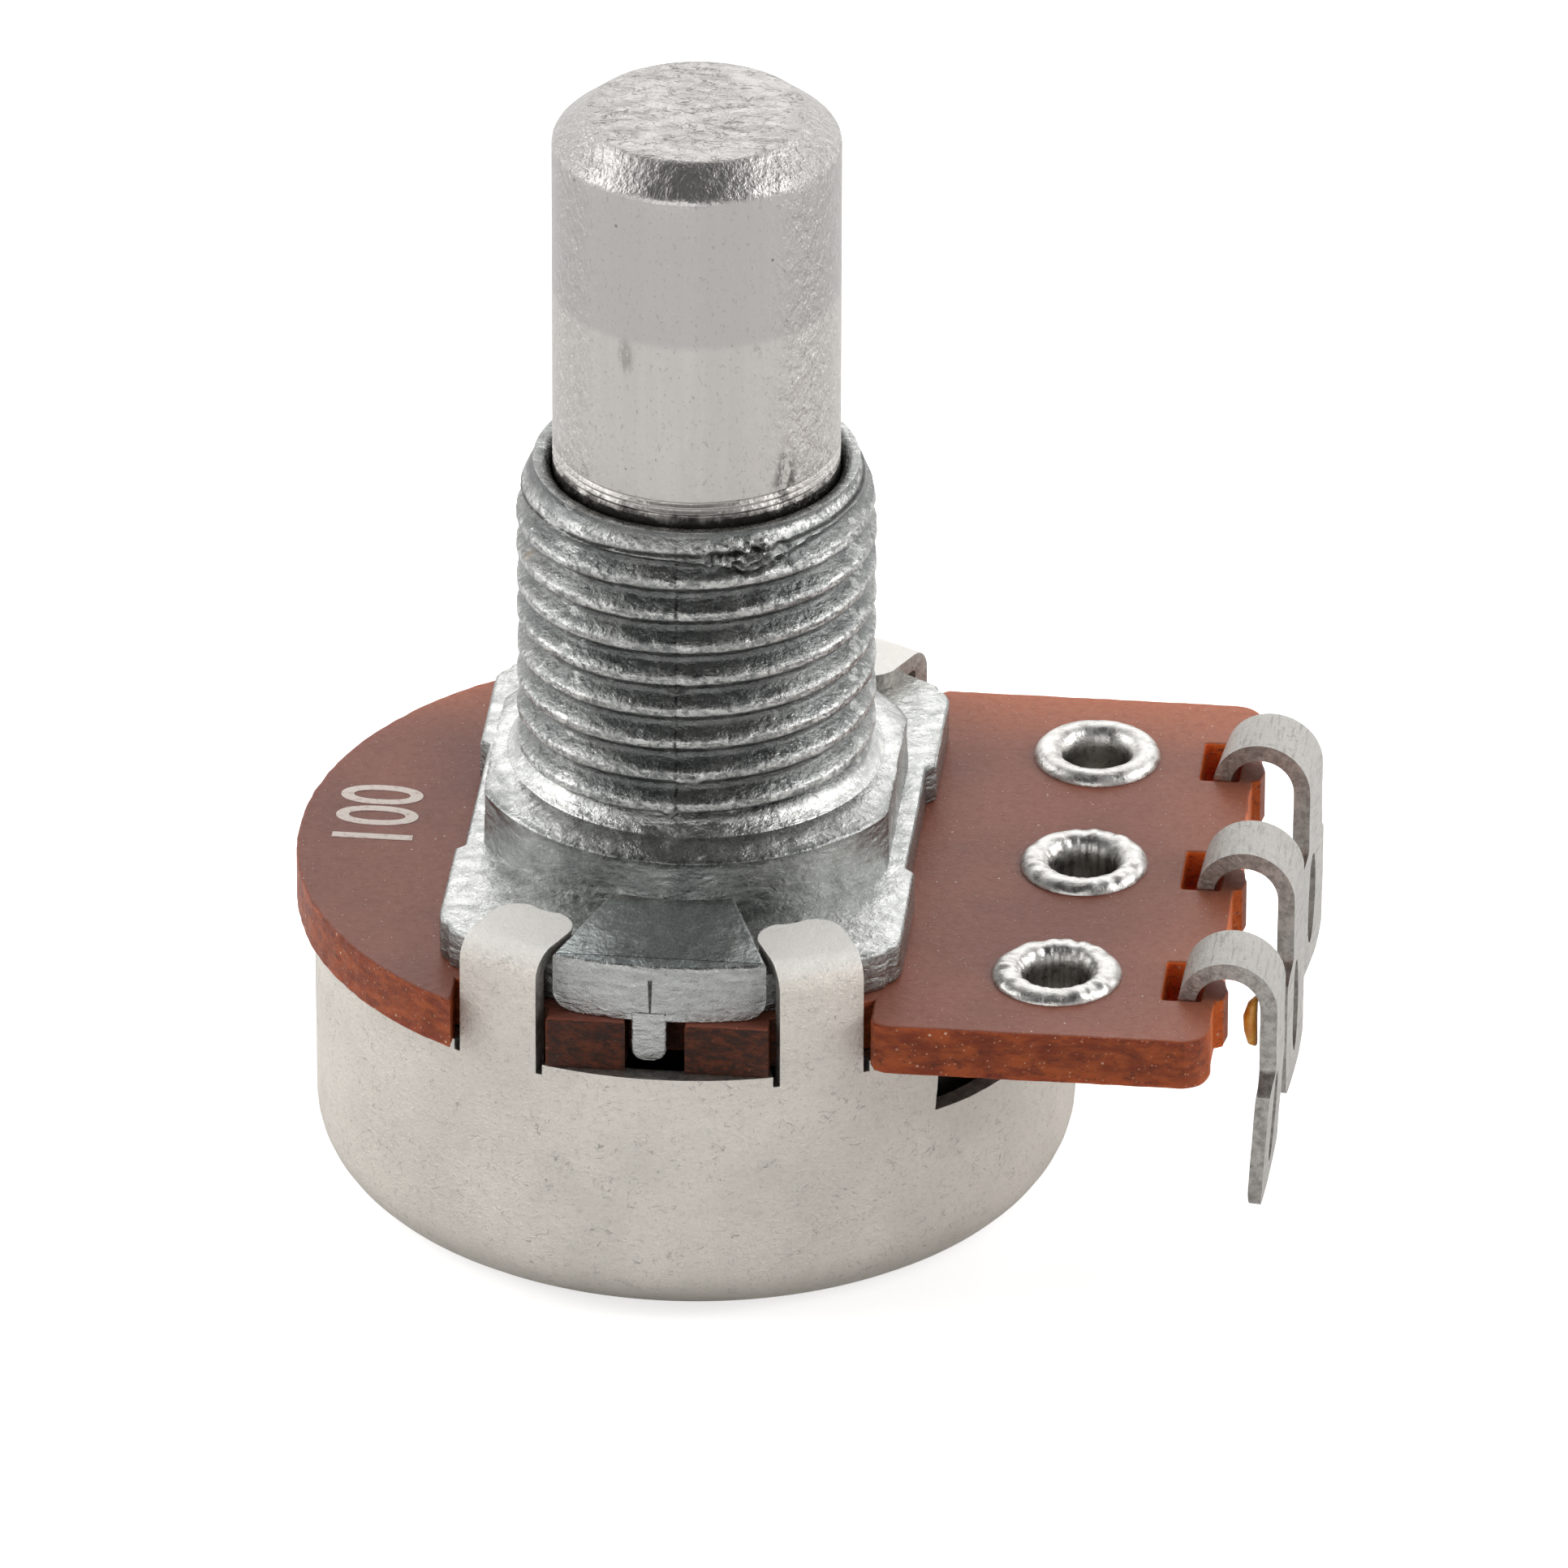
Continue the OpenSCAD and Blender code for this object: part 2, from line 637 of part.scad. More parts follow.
// Outline of the board: disc and tongue, with windows for the tabs, a key notch and torn stubs
module board_outline() {
    notch_x = key_w / 2 + notch_side;
    difference() {
        union() {
            circle(board_r);
            translate([0, -tongue_y]) square([tongue_x, 2 * tongue_y]);
            for (row = [-1:1]) translate([tongue_x, row * pitch - stub_w / 2]) polygon([
                [-cut, -stub_w / 2], [stub_l / 2, -stub_w / 2], [stub_l, 0],
                [stub_l / 2, stub_w / 2], [-cut, stub_w / 2]
            ]);
        }
        both_ends() translate([tongue_x - tongue_corner, tongue_y - tongue_corner])
            corner_waste(tongue_corner);
        both_ends() difference() {
            translate([-window_x, -2 * board_r]) square(2 * [window_x, board_r]);
            circle(slot_r);
            translate([-land_x, -land_y]) square([2 * land_x, land_y]);
        }
        translate([key_off + notch_off - notch_x, -2 * board_r])
            square([2 * notch_x, 2 * board_r - notch_y]);
    }
}

// Board: punched laminate with a centre hole, eyelet holes and terminal slots
module wafer() {
    color("sienna") translate([0, 0, board_z]) linear_extrude(board_t) difference() {
        board_outline();
        circle(hub_r + hole_gap);
        for (row = [-1:1]) {
            at_eyelet(row) circle(hole_r);
            translate([riser_x - slot_shift, row * pitch])
                square([strip_t + 2 * slot_room, strip_w + 2 * slot_ease], center = true);
        }
    }
}

module carbon_track() {
    color("black") translate([0, 0, print_z]) linear_extrude(print_t)
        rotate([0, 0, 180]) band(track_r1, track_r2, track_angle - 180, 180 - track_angle);
}

// Printed pad round an eyelet, with what leads to it
module printed_lead(row) {
    color("silver") translate([0, 0, print_z]) linear_extrude(print_t) difference() {
        union() {
            children();
            at_eyelet(row) circle(ring_r + pad_w);
        }
        at_eyelet(row) circle(hole_r);
        circle(collector_r1);
    }
}

// Conductor from one end of the track to an outer eyelet
module end_conductor(row) {
    a = (track_angle + pad_angle) / 2;
    start = (track_r1 + track_r2) / 2 * [cos(a), sin(a)];
    way = [eyelet_x, pitch] - start;
    printed_lead(row) mirror([0, row < 0 ? 1 : 0]) {
        band(track_r1, track_r2, pad_angle, track_angle);
        translate(start) rotate(atan2(way[1], way[0]))
            translate([0, -conductor_w / 2]) square([norm(way), conductor_w]);
    }
}

// Collector ring with its conductor to the middle eyelet
module conductor_middle() {
    printed_lead(0) {
        circle(collector_r2);
        translate([0, -conductor_w / 2]) square([eyelet_x + eyelet_shift, conductor_w]);
    }
}

// Outline of a flattened lug, drawn downwards from the crease, with its wire hole
module blade_outline() {
    low = -lug_blade_l + tip_r;
    end_w = lug_blade_w / 2 - tip_r;
    eye_l = lug_blade_l - eye_off - eye_end;
    difference() {
        union() {
            polygon([
                [-strip_w / 2, 0], [-lug_blade_w / 2, -blade_shoulder], [-lug_blade_w / 2, low],
                [lug_blade_w / 2, low], [lug_blade_w / 2, -blade_shoulder], [strip_w / 2, 0]
            ]);
            translate([-end_w, -lug_blade_l]) square([2 * end_w, 2 * tip_r]);
            both_sides() translate([end_w, low]) circle(tip_r);
        }
        translate([-eye_w / 2, -eye_off - eye_l + eye_w / 2]) square([eye_w, eye_l - eye_w]);
        for (y = [eye_w / 2, eye_l - eye_w / 2])
            translate([0, -eye_off - y]) circle(d = eye_w);
    }
}

// Side view of the strip from the eyelet to its bend in the slot, and of the riser, hook and leg
module base_profile(from_x) {
    bend_r = strip_t + bend_in;
    x = riser_x + strip_t / 2;
    translate([from_x, strip_z]) square([x - bend_r - from_x, strip_t]);
    translate([x - bend_r, strip_z + bend_r]) intersection() {
        difference() {
            circle(bend_r);
            circle(bend_r - strip_t);
        }
        translate([0, -2 * bend_r]) square(2 * bend_r);
    }
    translate([x - strip_t, strip_z + bend_r]) square(strip_t);
}

module hook_profile() {
    inner = hook_r - strip_t / 2;
    foot_z = strip_z + strip_t + bend_in;
    translate([riser_x - strip_t / 2, foot_z]) square([strip_t, hook_z - foot_z]);
    translate([leg_x - strip_t / 2, crease_z]) square([strip_t, leg_l]);
    translate([riser_x + hook_r, hook_z]) difference() {
        circle(hook_r + strip_t / 2);
        circle(inner);
        translate([-2 * hook_r, -4 * hook_r]) square(4 * hook_r);
    }
}

// Extrudes a side view across the width of the strip
module across_strip() {
    rotate([90, 0, 0]) translate([0, 0, -strip_w / 2]) linear_extrude(strip_w) children();
}

// Terminal: ring under the eyelet, strip, hook over the board's edge and flattened lug
module terminal(row) {
    turn = hook_turn[row + 1];
    lean = blade_lean[row + 1];
    x0 = eyelet_x + (row == 0 ? eyelet_shift : 0);
    color("lightsteelblue") {
        difference() {
            union() {
                at_eyelet(row) translate([0, 0, strip_z]) cylinder(r = ring_r, h = strip_t);
                translate([0, row * pitch, 0]) across_strip() base_profile(x0);
            }
            at_eyelet(row) translate([0, 0, strip_z - cut]) cylinder(r = hole_r, h = 2 * cut);
        }
        translate([riser_x, row * pitch, 0]) rotate([0, 0, -turn]) translate([-riser_x, 0, 0]) {
            across_strip() hook_profile();
            translate([leg_x, 0, crease_z]) rotate([0, lean, 0]) rotate([90, 0, 90])
                translate([0, 0, -lug_blade_t / 2]) linear_extrude(lug_blade_t) blade_outline();
        }
    }
}

// Eyelet: crowned flange on the board, funnel, barrel and clinched lower end
module eyelet(row) {
    low = strip_z - clinch_h;
    clinch_x = barrel_r + clinch_w - clinch_h / 2;
    crown_w = (flange_r - eyelet_r) / 2;
    crown_r = eyelet_r + crown_w;
    color("gray") at_eyelet(row) rotate_extrude() difference() {
        union() {
            translate([0, low]) square([barrel_r, plate_z - low]);
            translate([0, low]) square([clinch_x, clinch_h]);
            translate([clinch_x, low + clinch_h / 2]) circle(d = clinch_h);
            intersection() {
                translate([crown_r, plate_z]) scale([crown_w / flange_h, 1]) circle(flange_h);
                translate([0, plate_z]) square([2 * flange_r, flange_h]);
            }
            translate([0, plate_z]) square([crown_r, flange_h]);
        }
        translate([0, low - cut]) square([eyelet_r, plate_z - low + 2 * cut]);
        translate([0, plate_z]) polygon([
            [0, -funnel_h], [eyelet_r, -funnel_h], [eyelet_r + funnel_w, flange_h / 2],
            [crown_r, flange_h], [crown_r, flange_h + cut], [0, flange_h + cut]
        ]);
    }
}

// Half profile of a round body from z0 to z1, with a round lower corner and a round upper corner
module round_section(r, z0, z1, low, high) {
    difference() {
        translate([0, z0]) square([r, z1 - z0]);
        translate([r - low, z0 + low]) mirror([0, 1, 0]) corner_waste(low);
        translate([r - high, z1 - high]) corner_waste(high);
    }
}

module corner_waste(r) {
    difference() {
        square(r + cut);
        circle(r);
    }
}

// Half profile of the can's sheet: drawn cup, wall, round fold and the flat ends of the tabs
module can_profile() {
    difference() {
        round_section(can_r, 0, plate_top + sheet, can_corner, fold_r);
        round_section(cup_r, sheet, plate_top, corner_in, fold_in);
        translate([0, plate_top - cut]) square([can_r - fold_l - cut, 2 * cut]);
    }
}

// Plan of one tab at the front: straight sides and round inner corners
module tab_plan() {
    end_y = fold_l - can_r;
    translate([-tab_w / 2, -can_r - cut]) square([tab_w, cut + fold_l - tab_corner]);
    translate([tab_corner - tab_w / 2, -can_r - cut]) square([tab_w - 2 * tab_corner, cut + fold_l]);
    both_sides() translate([tab_w / 2 - tab_corner, end_y - tab_corner]) circle(tab_corner);
}

// Can: drawn cup with four folded tabs, relief nicks and an opening under the tongue
module can() {
    color("gainsboro") difference() {
        rotate_extrude() can_profile();
        translate([0, 0, can_h]) linear_extrude(can_h) difference() {
            circle(can_r + cut / 2);
            both_sides() both_ends() rotate([0, 0, tab_angle]) tab_plan();
        }
        translate([0, 0, can_h - mouth_drop]) linear_extrude(can_h)
            sector(can_d, -mouth_angle, mouth_angle);
        both_sides() both_ends() rotate([0, 0, tab_angle]) both_sides()
            translate([tab_w / 2, -can_r - cut, can_h - relief_h])
                cube([relief_w, 2 * cut, relief_h + cut]);
    }
}

shaft();
retaining_ring();
rotor();
wiper();
bushing();
wafer();
carbon_track();
end_conductor(-1);  // conductor_front
conductor_middle();
end_conductor(1);  // conductor_rear
terminal(-1);  // terminal_front
terminal(0);  // terminal_middle
terminal(1);  // terminal_rear
eyelet(-1);  // eyelet_front
eyelet(0);  // eyelet_middle
eyelet(1);  // eyelet_rear
can();
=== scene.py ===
"""Looks of a panel potentiometer over its CAD frame. Shapes are in mm; +Z runs up the shaft."""
import math
import bmesh
import bpy
import numpy as np
from mathutils import Matrix, Vector, noise


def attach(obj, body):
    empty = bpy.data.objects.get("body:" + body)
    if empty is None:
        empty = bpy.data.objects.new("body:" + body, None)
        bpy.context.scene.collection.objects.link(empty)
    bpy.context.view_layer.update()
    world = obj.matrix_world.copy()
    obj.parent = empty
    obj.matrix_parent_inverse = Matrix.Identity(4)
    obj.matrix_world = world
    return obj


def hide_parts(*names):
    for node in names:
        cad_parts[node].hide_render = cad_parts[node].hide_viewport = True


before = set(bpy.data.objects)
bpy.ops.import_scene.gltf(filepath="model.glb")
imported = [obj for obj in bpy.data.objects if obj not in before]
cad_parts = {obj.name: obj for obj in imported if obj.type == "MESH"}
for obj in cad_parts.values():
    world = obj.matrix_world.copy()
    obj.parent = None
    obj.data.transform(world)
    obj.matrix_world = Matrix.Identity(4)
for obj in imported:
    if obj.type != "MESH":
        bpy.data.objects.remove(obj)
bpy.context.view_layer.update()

MM = 0.001
TURN = 2 * math.pi

# Levels above the can's base
RIM_Z = 6.2
PLATE_Z = 7.4
PLATE_TOP = 8.4
SEAT_Z = 9.9
MOUTH_Z = 17.2
SHAFT_TOP = 25.7

# Shaft and bushing
SHAFT_R = 3.175
BORE_R = 3.205
THREAD_R = 3.97
THREAD_DEPTH = 0.34
PITCH = 0.794
CREST_Z = 10.495
LUG_R = 8.03

# Can
CAN_R = 8.5
SHEET = 0.45
TAB_ANGLES = (-115.1, -64.9, 64.9, 115.1)
TAB_HALF = 0.98
TAB_REACH = 2.05
TAB_CORNER = 0.65

# Board
BOARD_R = 8.88
TONGUE_Y = 7.69
TONGUE_X = 12.05
BOARD_CORNER = 0.65

# Terminals: strip's thickness and half width, place of the upright part, radius of the hook
STRIP = 0.38
STRIP_HALF = 0.775
RISER_X = 11.43
HOOK_R = 0.92
HOOK_Z = 7.23

# Each terminal from front to rear: name, y, turn and lean in degrees, eyelet's x, eyelet's wrinkles
ROWS = (("front", -5.0, 2.0, 3.5, 8.5, 1.0), ("middle", 0.0, 3.0, 0.3, 8.65, 0.8),
        ("rear", 5.0, 6.0, 1.0, 8.5, 0.15))


# Number helpers

def part_way(value, low, high):
    return np.clip((value - low) / (high - low), 0.0, 1.0)


def eased(t):
    return t * t * (3 - 2 * t)


def bell(value, centre, width):
    return np.exp(-((value - centre) / width) ** 2)


def noise_at(points, grain, seed):
    """Smooth noise from about -1 to 1 at each point, with that grain in mm."""
    shift = Vector((seed * 7.3, seed * 3.1, seed * 5.7))
    return np.array([noise.noise(Vector(p) / grain + shift) for p in points])


def spot(theta, degrees, width):
    """1 at an angle in degrees, falling off on both sides by a width in radians."""
    return bell((theta - math.radians(degrees) + math.pi) % TURN - math.pi, 0, width)


def unit(vectors):
    return vectors / np.maximum(np.linalg.norm(vectors, axis=1, keepdims=True), 1e-9)


# Mesh helpers

class Shape:
    """Collects points in mm and faces with their material numbers."""

    def __init__(self):
        self.points, self.faces, self.kinds = [], [], []

    def add(self, points, faces, kinds=0):
        start = len(self.points)
        self.points.extend(np.asarray(points, float).tolist())
        self.faces.extend([[start + i for i in f] for f in faces])
        self.kinds.extend([kinds] * len(faces) if isinstance(kinds, int) else kinds)

    def make(self, name, materials, body, replaces=(), sharp=38, edge=0.0):
        mesh = bpy.data.meshes.new(name)
        mesh.from_pydata([[c * MM for c in p] for p in self.points], [], self.faces)
        mesh.polygons.foreach_set("material_index", self.kinds)
        clean(mesh, 0.0008 * MM)
        return finish_piece(name, mesh, materials, body, replaces, sharp, edge)


def clean(mesh, distance):
    """Joins points closer than a distance in metres and turns all faces outwards."""
    bm = bmesh.new()
    bm.from_mesh(mesh)
    bmesh.ops.remove_doubles(bm, verts=bm.verts, dist=distance)
    bmesh.ops.recalc_face_normals(bm, faces=bm.faces)
    bm.to_mesh(mesh)
    bm.free()


def placed(name, data):
    """Puts a new object into the scene."""
    thing = bpy.data.objects.new(name, data)
    bpy.context.scene.collection.objects.link(thing)
    return thing


def finish_piece(name, mesh, materials, body, replaces=(), sharp=38, edge=0.0):
    """Makes a piece of a mesh: sharp is the angle of creases, edge its bevels' width in mm."""
    for material in materials:
        mesh.materials.append(material)
    mesh.polygons.foreach_set("use_smooth", [True] * len(mesh.polygons))
    mesh.set_sharp_from_angle(angle=math.radians(sharp))
    piece = placed(name, mesh)
    if edge:
        bevel = piece.modifiers.new("edge", "BEVEL")
        bevel.width = edge * MM
        bevel.segments = 2
        bevel.limit_method = "ANGLE"
        bevel.angle_limit = math.radians(50)
        bevel.harden_normals = True
        bevel.use_clamp_overlap = True
    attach(piece, body)
    if replaces:
        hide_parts(*replaces)
    return piece


def mesh_of(curve):
    """Mesh of a curve or a text."""
    holder = placed(curve.name, curve)
    bpy.context.view_layer.update()
    graph = bpy.context.evaluated_depsgraph_get()
    mesh = bpy.data.meshes.new_from_object(holder.evaluated_get(graph))
    bpy.data.objects.remove(holder)
    mesh.materials.clear()
    return mesh


def grid_faces(rows, columns, close_rows=False, close_columns=False):
    """Four-sided faces over a grid of points, closed over either direction if asked."""
    across, along = np.arange(rows - (not close_rows)), np.arange(columns - (not close_columns))
    i, j = np.meshgrid(across, along, indexing="ij")
    k, m = (i + 1) % rows, (j + 1) % columns
    quads = [i * columns + j, i * columns + m, k * columns + m, k * columns + j]
    return np.stack(quads, -1).reshape(-1, 4).tolist()


def turned(shape, profile, columns, centre=(0, 0), change=None, close=False):
    """Spins a profile of (radius, height) points; change(points, theta) may move them."""
    profile = np.asarray(profile, float)
    theta = np.arange(columns) / columns * TURN
    r, z = profile[:, :1], profile[:, 1:]
    points = np.stack([r * np.cos(theta), r * np.sin(theta), z + 0 * theta], -1).reshape(-1, 3)
    if change:
        points = change(points, np.tile(theta, len(profile)))
    points = points + np.array([centre[0], centre[1], 0.0])
    shape.add(points, grid_faces(len(profile), columns, close, True))


def sampled(corners, step):
    """Points along straight lines between corners, at most one step apart."""
    out = []
    for a, b in zip(corners, corners[1:]):
        a, b = np.array(a, float), np.array(b, float)
        n = max(1, int(math.ceil(np.linalg.norm(b - a) / step)))
        out.extend(a + (b - a) * i / n for i in range(n))
    out.append(np.array(corners[-1], float))
    return np.array(out)


def arc(cx, cy, r, a1, a2, n):
    t = np.radians(np.linspace(a1, a2, n))
    return [(cx + r * math.cos(a), cy + r * math.sin(a)) for a in t]


def rounded(corners, r, n=5):
    """Closed outline of a rectangle with a round of radius r at each corner."""
    bulge = 0.08
    corners = [np.array(c, float) for c in corners]
    out = []
    for i, c in enumerate(corners):
        before, after = corners[i - 1] - c, corners[(i + 1) % len(corners)] - c
        a, b = c + before * r / np.linalg.norm(before), c + after * r / np.linalg.norm(after)
        middle = c + (a + b - 2 * c) * bulge
        for t in np.linspace(0, 1, n):
            out.append((1 - t) ** 2 * a + 2 * t * (1 - t) * middle + t ** 2 * b)
    return np.array(out)


def inset(loop, distance):
    """Moves each point of a closed anticlockwise outline inwards."""
    ahead = unit(np.roll(loop, -1, 0) - loop)
    behind = unit(loop - np.roll(loop, 1, 0))
    along = unit(ahead + behind)
    return loop + np.stack([-along[:, 1], along[:, 0]], 1) * distance


def at_height(outline, z):
    return np.column_stack([outline, np.full(len(outline), z)])


def stacked(shape, loops, change=None):
    """Closes a stack of outlines, each an (n, 3) array, with flat ends."""
    columns = len(loops[0])
    points = np.concatenate(loops)
    if change:
        points = change(points)
    last = (len(loops) - 1) * columns
    faces = grid_faces(len(loops), columns, False, True)
    faces += [list(range(columns - 1, -1, -1)), list(range(last, last + columns))]
    shape.add(points, faces)


def slab(shape, outline, low, high, edge, change=None):
    """Flat piece with round upper and lower edges."""
    steps = np.radians([0, 30, 60, 90])
    levels = [(edge * (1 - math.sin(t)), low + edge * (1 - math.cos(t))) for t in steps]
    levels += [(edge * (1 - math.sin(t)), high - edge * (1 - math.cos(t))) for t in steps[::-1]]
    stacked(shape, [at_height(inset(outline, back), z) for back, z in levels], change)


# Material helpers

MIX_AMOUNT, MIX_A, MIX_B, MIX_RESULT = 0, 6, 7, 2


def feed(tree, value, socket):
    """Links another node's output to a socket, or sets the socket's value."""
    if isinstance(value, bpy.types.NodeSocket):
        tree.links.new(value, socket)
    elif isinstance(value, tuple) and len(value) == 3 and socket.type == "RGBA":
        socket.default_value = (*value, 1.0)
    else:
        socket.default_value = value


def add_node(tree, kind, inputs=None, **settings):
    """Adds a shader node with its settings and its inputs, by name or number."""
    node = tree.nodes.new("ShaderNode" + kind)
    for name, value in settings.items():
        setattr(node, name, value)
    for socket, value in (inputs or {}).items():
        feed(tree, value, node.inputs[socket])
    return node


class Paint:
    """Short way to write one material's nodes. Coordinates are in mm."""

    def __init__(self, name, roughness, metallic):
        self.material = bpy.data.materials.new(name)
        self.material.use_nodes = True
        self.tree = self.material.node_tree
        self.here = self.add("TexCoord").outputs["Object"]
        self.set("Roughness", roughness)
        self.set("Metallic", metallic)

    def add(self, kind, inputs=None, **settings):
        return add_node(self.tree, kind, inputs, **settings)

    def set(self, socket, value):
        """Gives the shader a value or another node's output."""
        feed(self.tree, value, self.tree.nodes["Principled BSDF"].inputs[socket])

    def stretched(self, x=1, y=1, z=1):
        """Object coordinates in mm, scaled along each axis."""
        inputs = {"Vector": self.here, "Scale": (x / MM, y / MM, z / MM)}
        return self.add("Mapping", inputs).outputs["Vector"]

    def grain(self, scale, detail=3.0, roughness=0.55, stretch=(1, 1, 1), distortion=0.0):
        """Soft noise from 0 to 1; a stretch below 1 draws it out along that axis."""
        inputs = {"Vector": self.stretched(*stretch), "Scale": scale, "Detail": detail,
                  "Roughness": roughness, "Distortion": distortion}
        return self.add("TexNoise", inputs).outputs["Fac"]

    def cells(self, scale):
        """Distance to the nearest of scattered points."""
        inputs = {"Vector": self.stretched(), "Scale": scale}
        return self.add("TexVoronoi", inputs).outputs["Distance"]

    def level(self, axis):
        """Place along one axis in mm: 0 to the right, 1 to the rear, 2 up."""
        return self.add("SeparateXYZ", {0: self.stretched()}).outputs[axis]

    def spread(self, value, low, high, out_low=0.0, out_high=1.0):
        """Takes a value from one range to another, with soft ends."""
        inputs = {"Value": value, "From Min": low, "From Max": high,
                  "To Min": out_low, "To Max": out_high}
        return self.add("MapRange", inputs, interpolation_type="SMOOTHSTEP").outputs["Result"]

    def sum(self, operation, a, b=0.5):
        return self.add("Math", {0: a, 1: b}, operation=operation).outputs["Value"]

    def times(self, first, *others):
        """Product of two or more values."""
        for other in others:
            first = self.sum("MULTIPLY", first, other)
        return first

    def off(self, value, centre=None):
        """How far a value is from a centre, or from 0, on either side."""
        if centre is not None:
            value = self.sum("SUBTRACT", value, centre)
        return self.sum("ABSOLUTE", value)

    def mixed(self, amount, a, b):
        inputs = {MIX_AMOUNT: amount, MIX_A: a, MIX_B: b}
        return self.add("Mix", inputs, data_type="RGBA").outputs[MIX_RESULT]

    def base(self, amount, a, b):
        """Starts the colour as a mix of two."""
        self.colour = self.mixed(amount, a, b)

    def tint(self, amount, colour):
        """Lays another colour over the colour so far."""
        self.colour = self.mixed(amount, self.colour, colour)

    def radius(self):
        """Distance from the shaft's axis, in mm."""
        inputs = {0: self.stretched(1, 1, 0)}
        return self.add("VectorMath", inputs, operation="LENGTH").outputs["Value"]

    def near(self, place, reach, stretch):
        """1 at a place in mm, falling to 0 at its reach."""
        inputs = {0: self.stretched(*stretch), 1: [c * s for c, s in zip(place, stretch)]}
        apart = self.add("VectorMath", inputs, operation="DISTANCE").outputs["Value"]
        return self.spread(apart, reach, reach * 0.35)

    def pointed(self):
        """About 0.5 on flat surface, more on outer edges and less in hollows."""
        return self.add("NewGeometry").outputs["Pointiness"]

    def facing(self, axis):
        """How far the true surface points along one axis, from -1 to 1."""
        normal = self.add("NewGeometry").outputs["True Normal"]
        return self.add("SeparateXYZ", {0: normal}).outputs[axis]

    def above_crest(self):
        """Height over the nearest thread crest, in mm."""
        turn = self.sum("DIVIDE", self.sum("ARCTAN2", self.level(1), self.level(0)), TURN)
        turn = self.sum("SUBTRACT", self.sum("DIVIDE", self.level(2), PITCH), turn)
        turn = self.sum("SUBTRACT", turn, CREST_Z / PITCH + 0.25)
        return self.times(self.sum("SUBTRACT", turn, self.sum("ROUND", turn)), PITCH)

    def dust(self, scale, size, where):
        """Scattered specks, thicker where the given noise is high."""
        specks = self.spread(self.cells(scale), size, size * 0.5)
        return self.times(specks, self.spread(where, 0.42, 0.56, 0.1, 0.85))

    def glow_through(self, weight):
        """Lets some light travel under the surface, red furthest."""
        self.set("Subsurface Weight", weight)
        self.set("Subsurface Radius", (1.0, 0.3, 0.1))
        self.set("Subsurface Scale", 1.2 * MM)

    def bumps(self, *layers):
        """Adds (height, depth in mm) layers of relief."""
        inputs = {}
        for height, depth in layers:
            inputs.update({"Height": height, "Distance": depth * MM})
            inputs["Normal"] = self.add("Bump", inputs).outputs["Normal"]
        self.set("Normal", inputs["Normal"])

    def done(self, roughness=None):
        self.set("Base Color", self.colour)
        if roughness is not None:
            self.set("Roughness", roughness)
        return self.material


def scaled(colour, amount):
    return tuple(c * amount for c in colour)


# Dark smears on the shaft: place, reach, strength
SMEARS = (((2.2, -2.29, 17.9), 0.42, 0.8), ((-1.25, -2.92, 21.1), 0.24, 0.35),
          ((1.6, -2.74, 21.2), 0.15, 0.3))


def shaft_metal():
    """Drawn aluminium: duller upper part, crinkled end with painted shade in its creases, pits,
    smears and a foot that darkens towards the bushing.
    """
    p = Paint("shaft_metal", 0.34, 1.0)
    drawn = p.grain(2.5, 3, 0.6, (1, 1, 0.05))
    fine = p.grain(11.0, 4, 0.7, (1, 1, 0.7))
    dents = p.grain(2.6, 4, 0.6, (1, 1, 0.55))
    wrinkles = p.grain(5.0, 4, 0.65, (1, 1, 0.5))
    upper = p.spread(p.level(2), 21.4, 21.6)
    p.base(upper, (0.65, 0.62, 0.592), (0.55, 0.53, 0.512))
    p.tint(p.spread(drawn, 0.35, 0.65, 0.0, 0.2), (0.5, 0.485, 0.47))
    p.tint(p.spread(fine, 0.57, 0.7, 0.0, 0.55), (0.3, 0.285, 0.27))
    specks = p.times(p.spread(p.cells(1.9), 0.1, 0.05), p.spread(dents, 0.47, 0.55))
    p.tint(p.times(specks, 0.7), (0.14, 0.135, 0.13))
    for place, reach, amount in SMEARS:
        smear = p.times(p.near(place, reach, (1, 1, 0.4)), p.spread(wrinkles, 0.42, 0.54))
        p.tint(p.times(smear, amount), (0.1, 0.095, 0.09))
    # darker towards the foot, just above the bushing's mouth
    darker_foot = p.spread(p.sum("ADD", p.level(2), p.times(dents, 0.8)), 17.83, 17.58)
    p.tint(p.times(darker_foot, 0.9), (0.045, 0.042, 0.038))
    top = p.spread(p.facing(2), 0.9, 0.98)
    crinkle = p.grain(1.9, 4, 0.65, (1, 1.6, 1), 0.7)
    # painted shade along the creases of the crinkled top
    crease_shade = p.times(p.spread(p.off(crinkle, 0.47), 0.032, 0.0), p.spread(dents, 0.46, 0.56))
    p.tint(p.times(top, crease_shade, 0.9), (0.13, 0.126, 0.12))
    crinkled = p.times(top, crinkle, p.spread(p.grain(0.8, 2), 0.4, 0.6, 0.45, 1.0))
    sides = p.spread(p.off(p.level(0)), 1.6, 2.8, 0.12, 1.0)
    bevel = p.spread(p.level(2), 24.9, 25.0, 0.0, 0.2)
    pressed = p.times(p.sum("MAXIMUM", sides, bevel), wrinkles)
    p.bumps((drawn, 0.010), (fine, 0.012), (dents, 0.03), (pressed, 0.17), (crinkled, 0.15))
    return p.done(p.spread(upper, 0.0, 1.0, 0.38, 0.32))


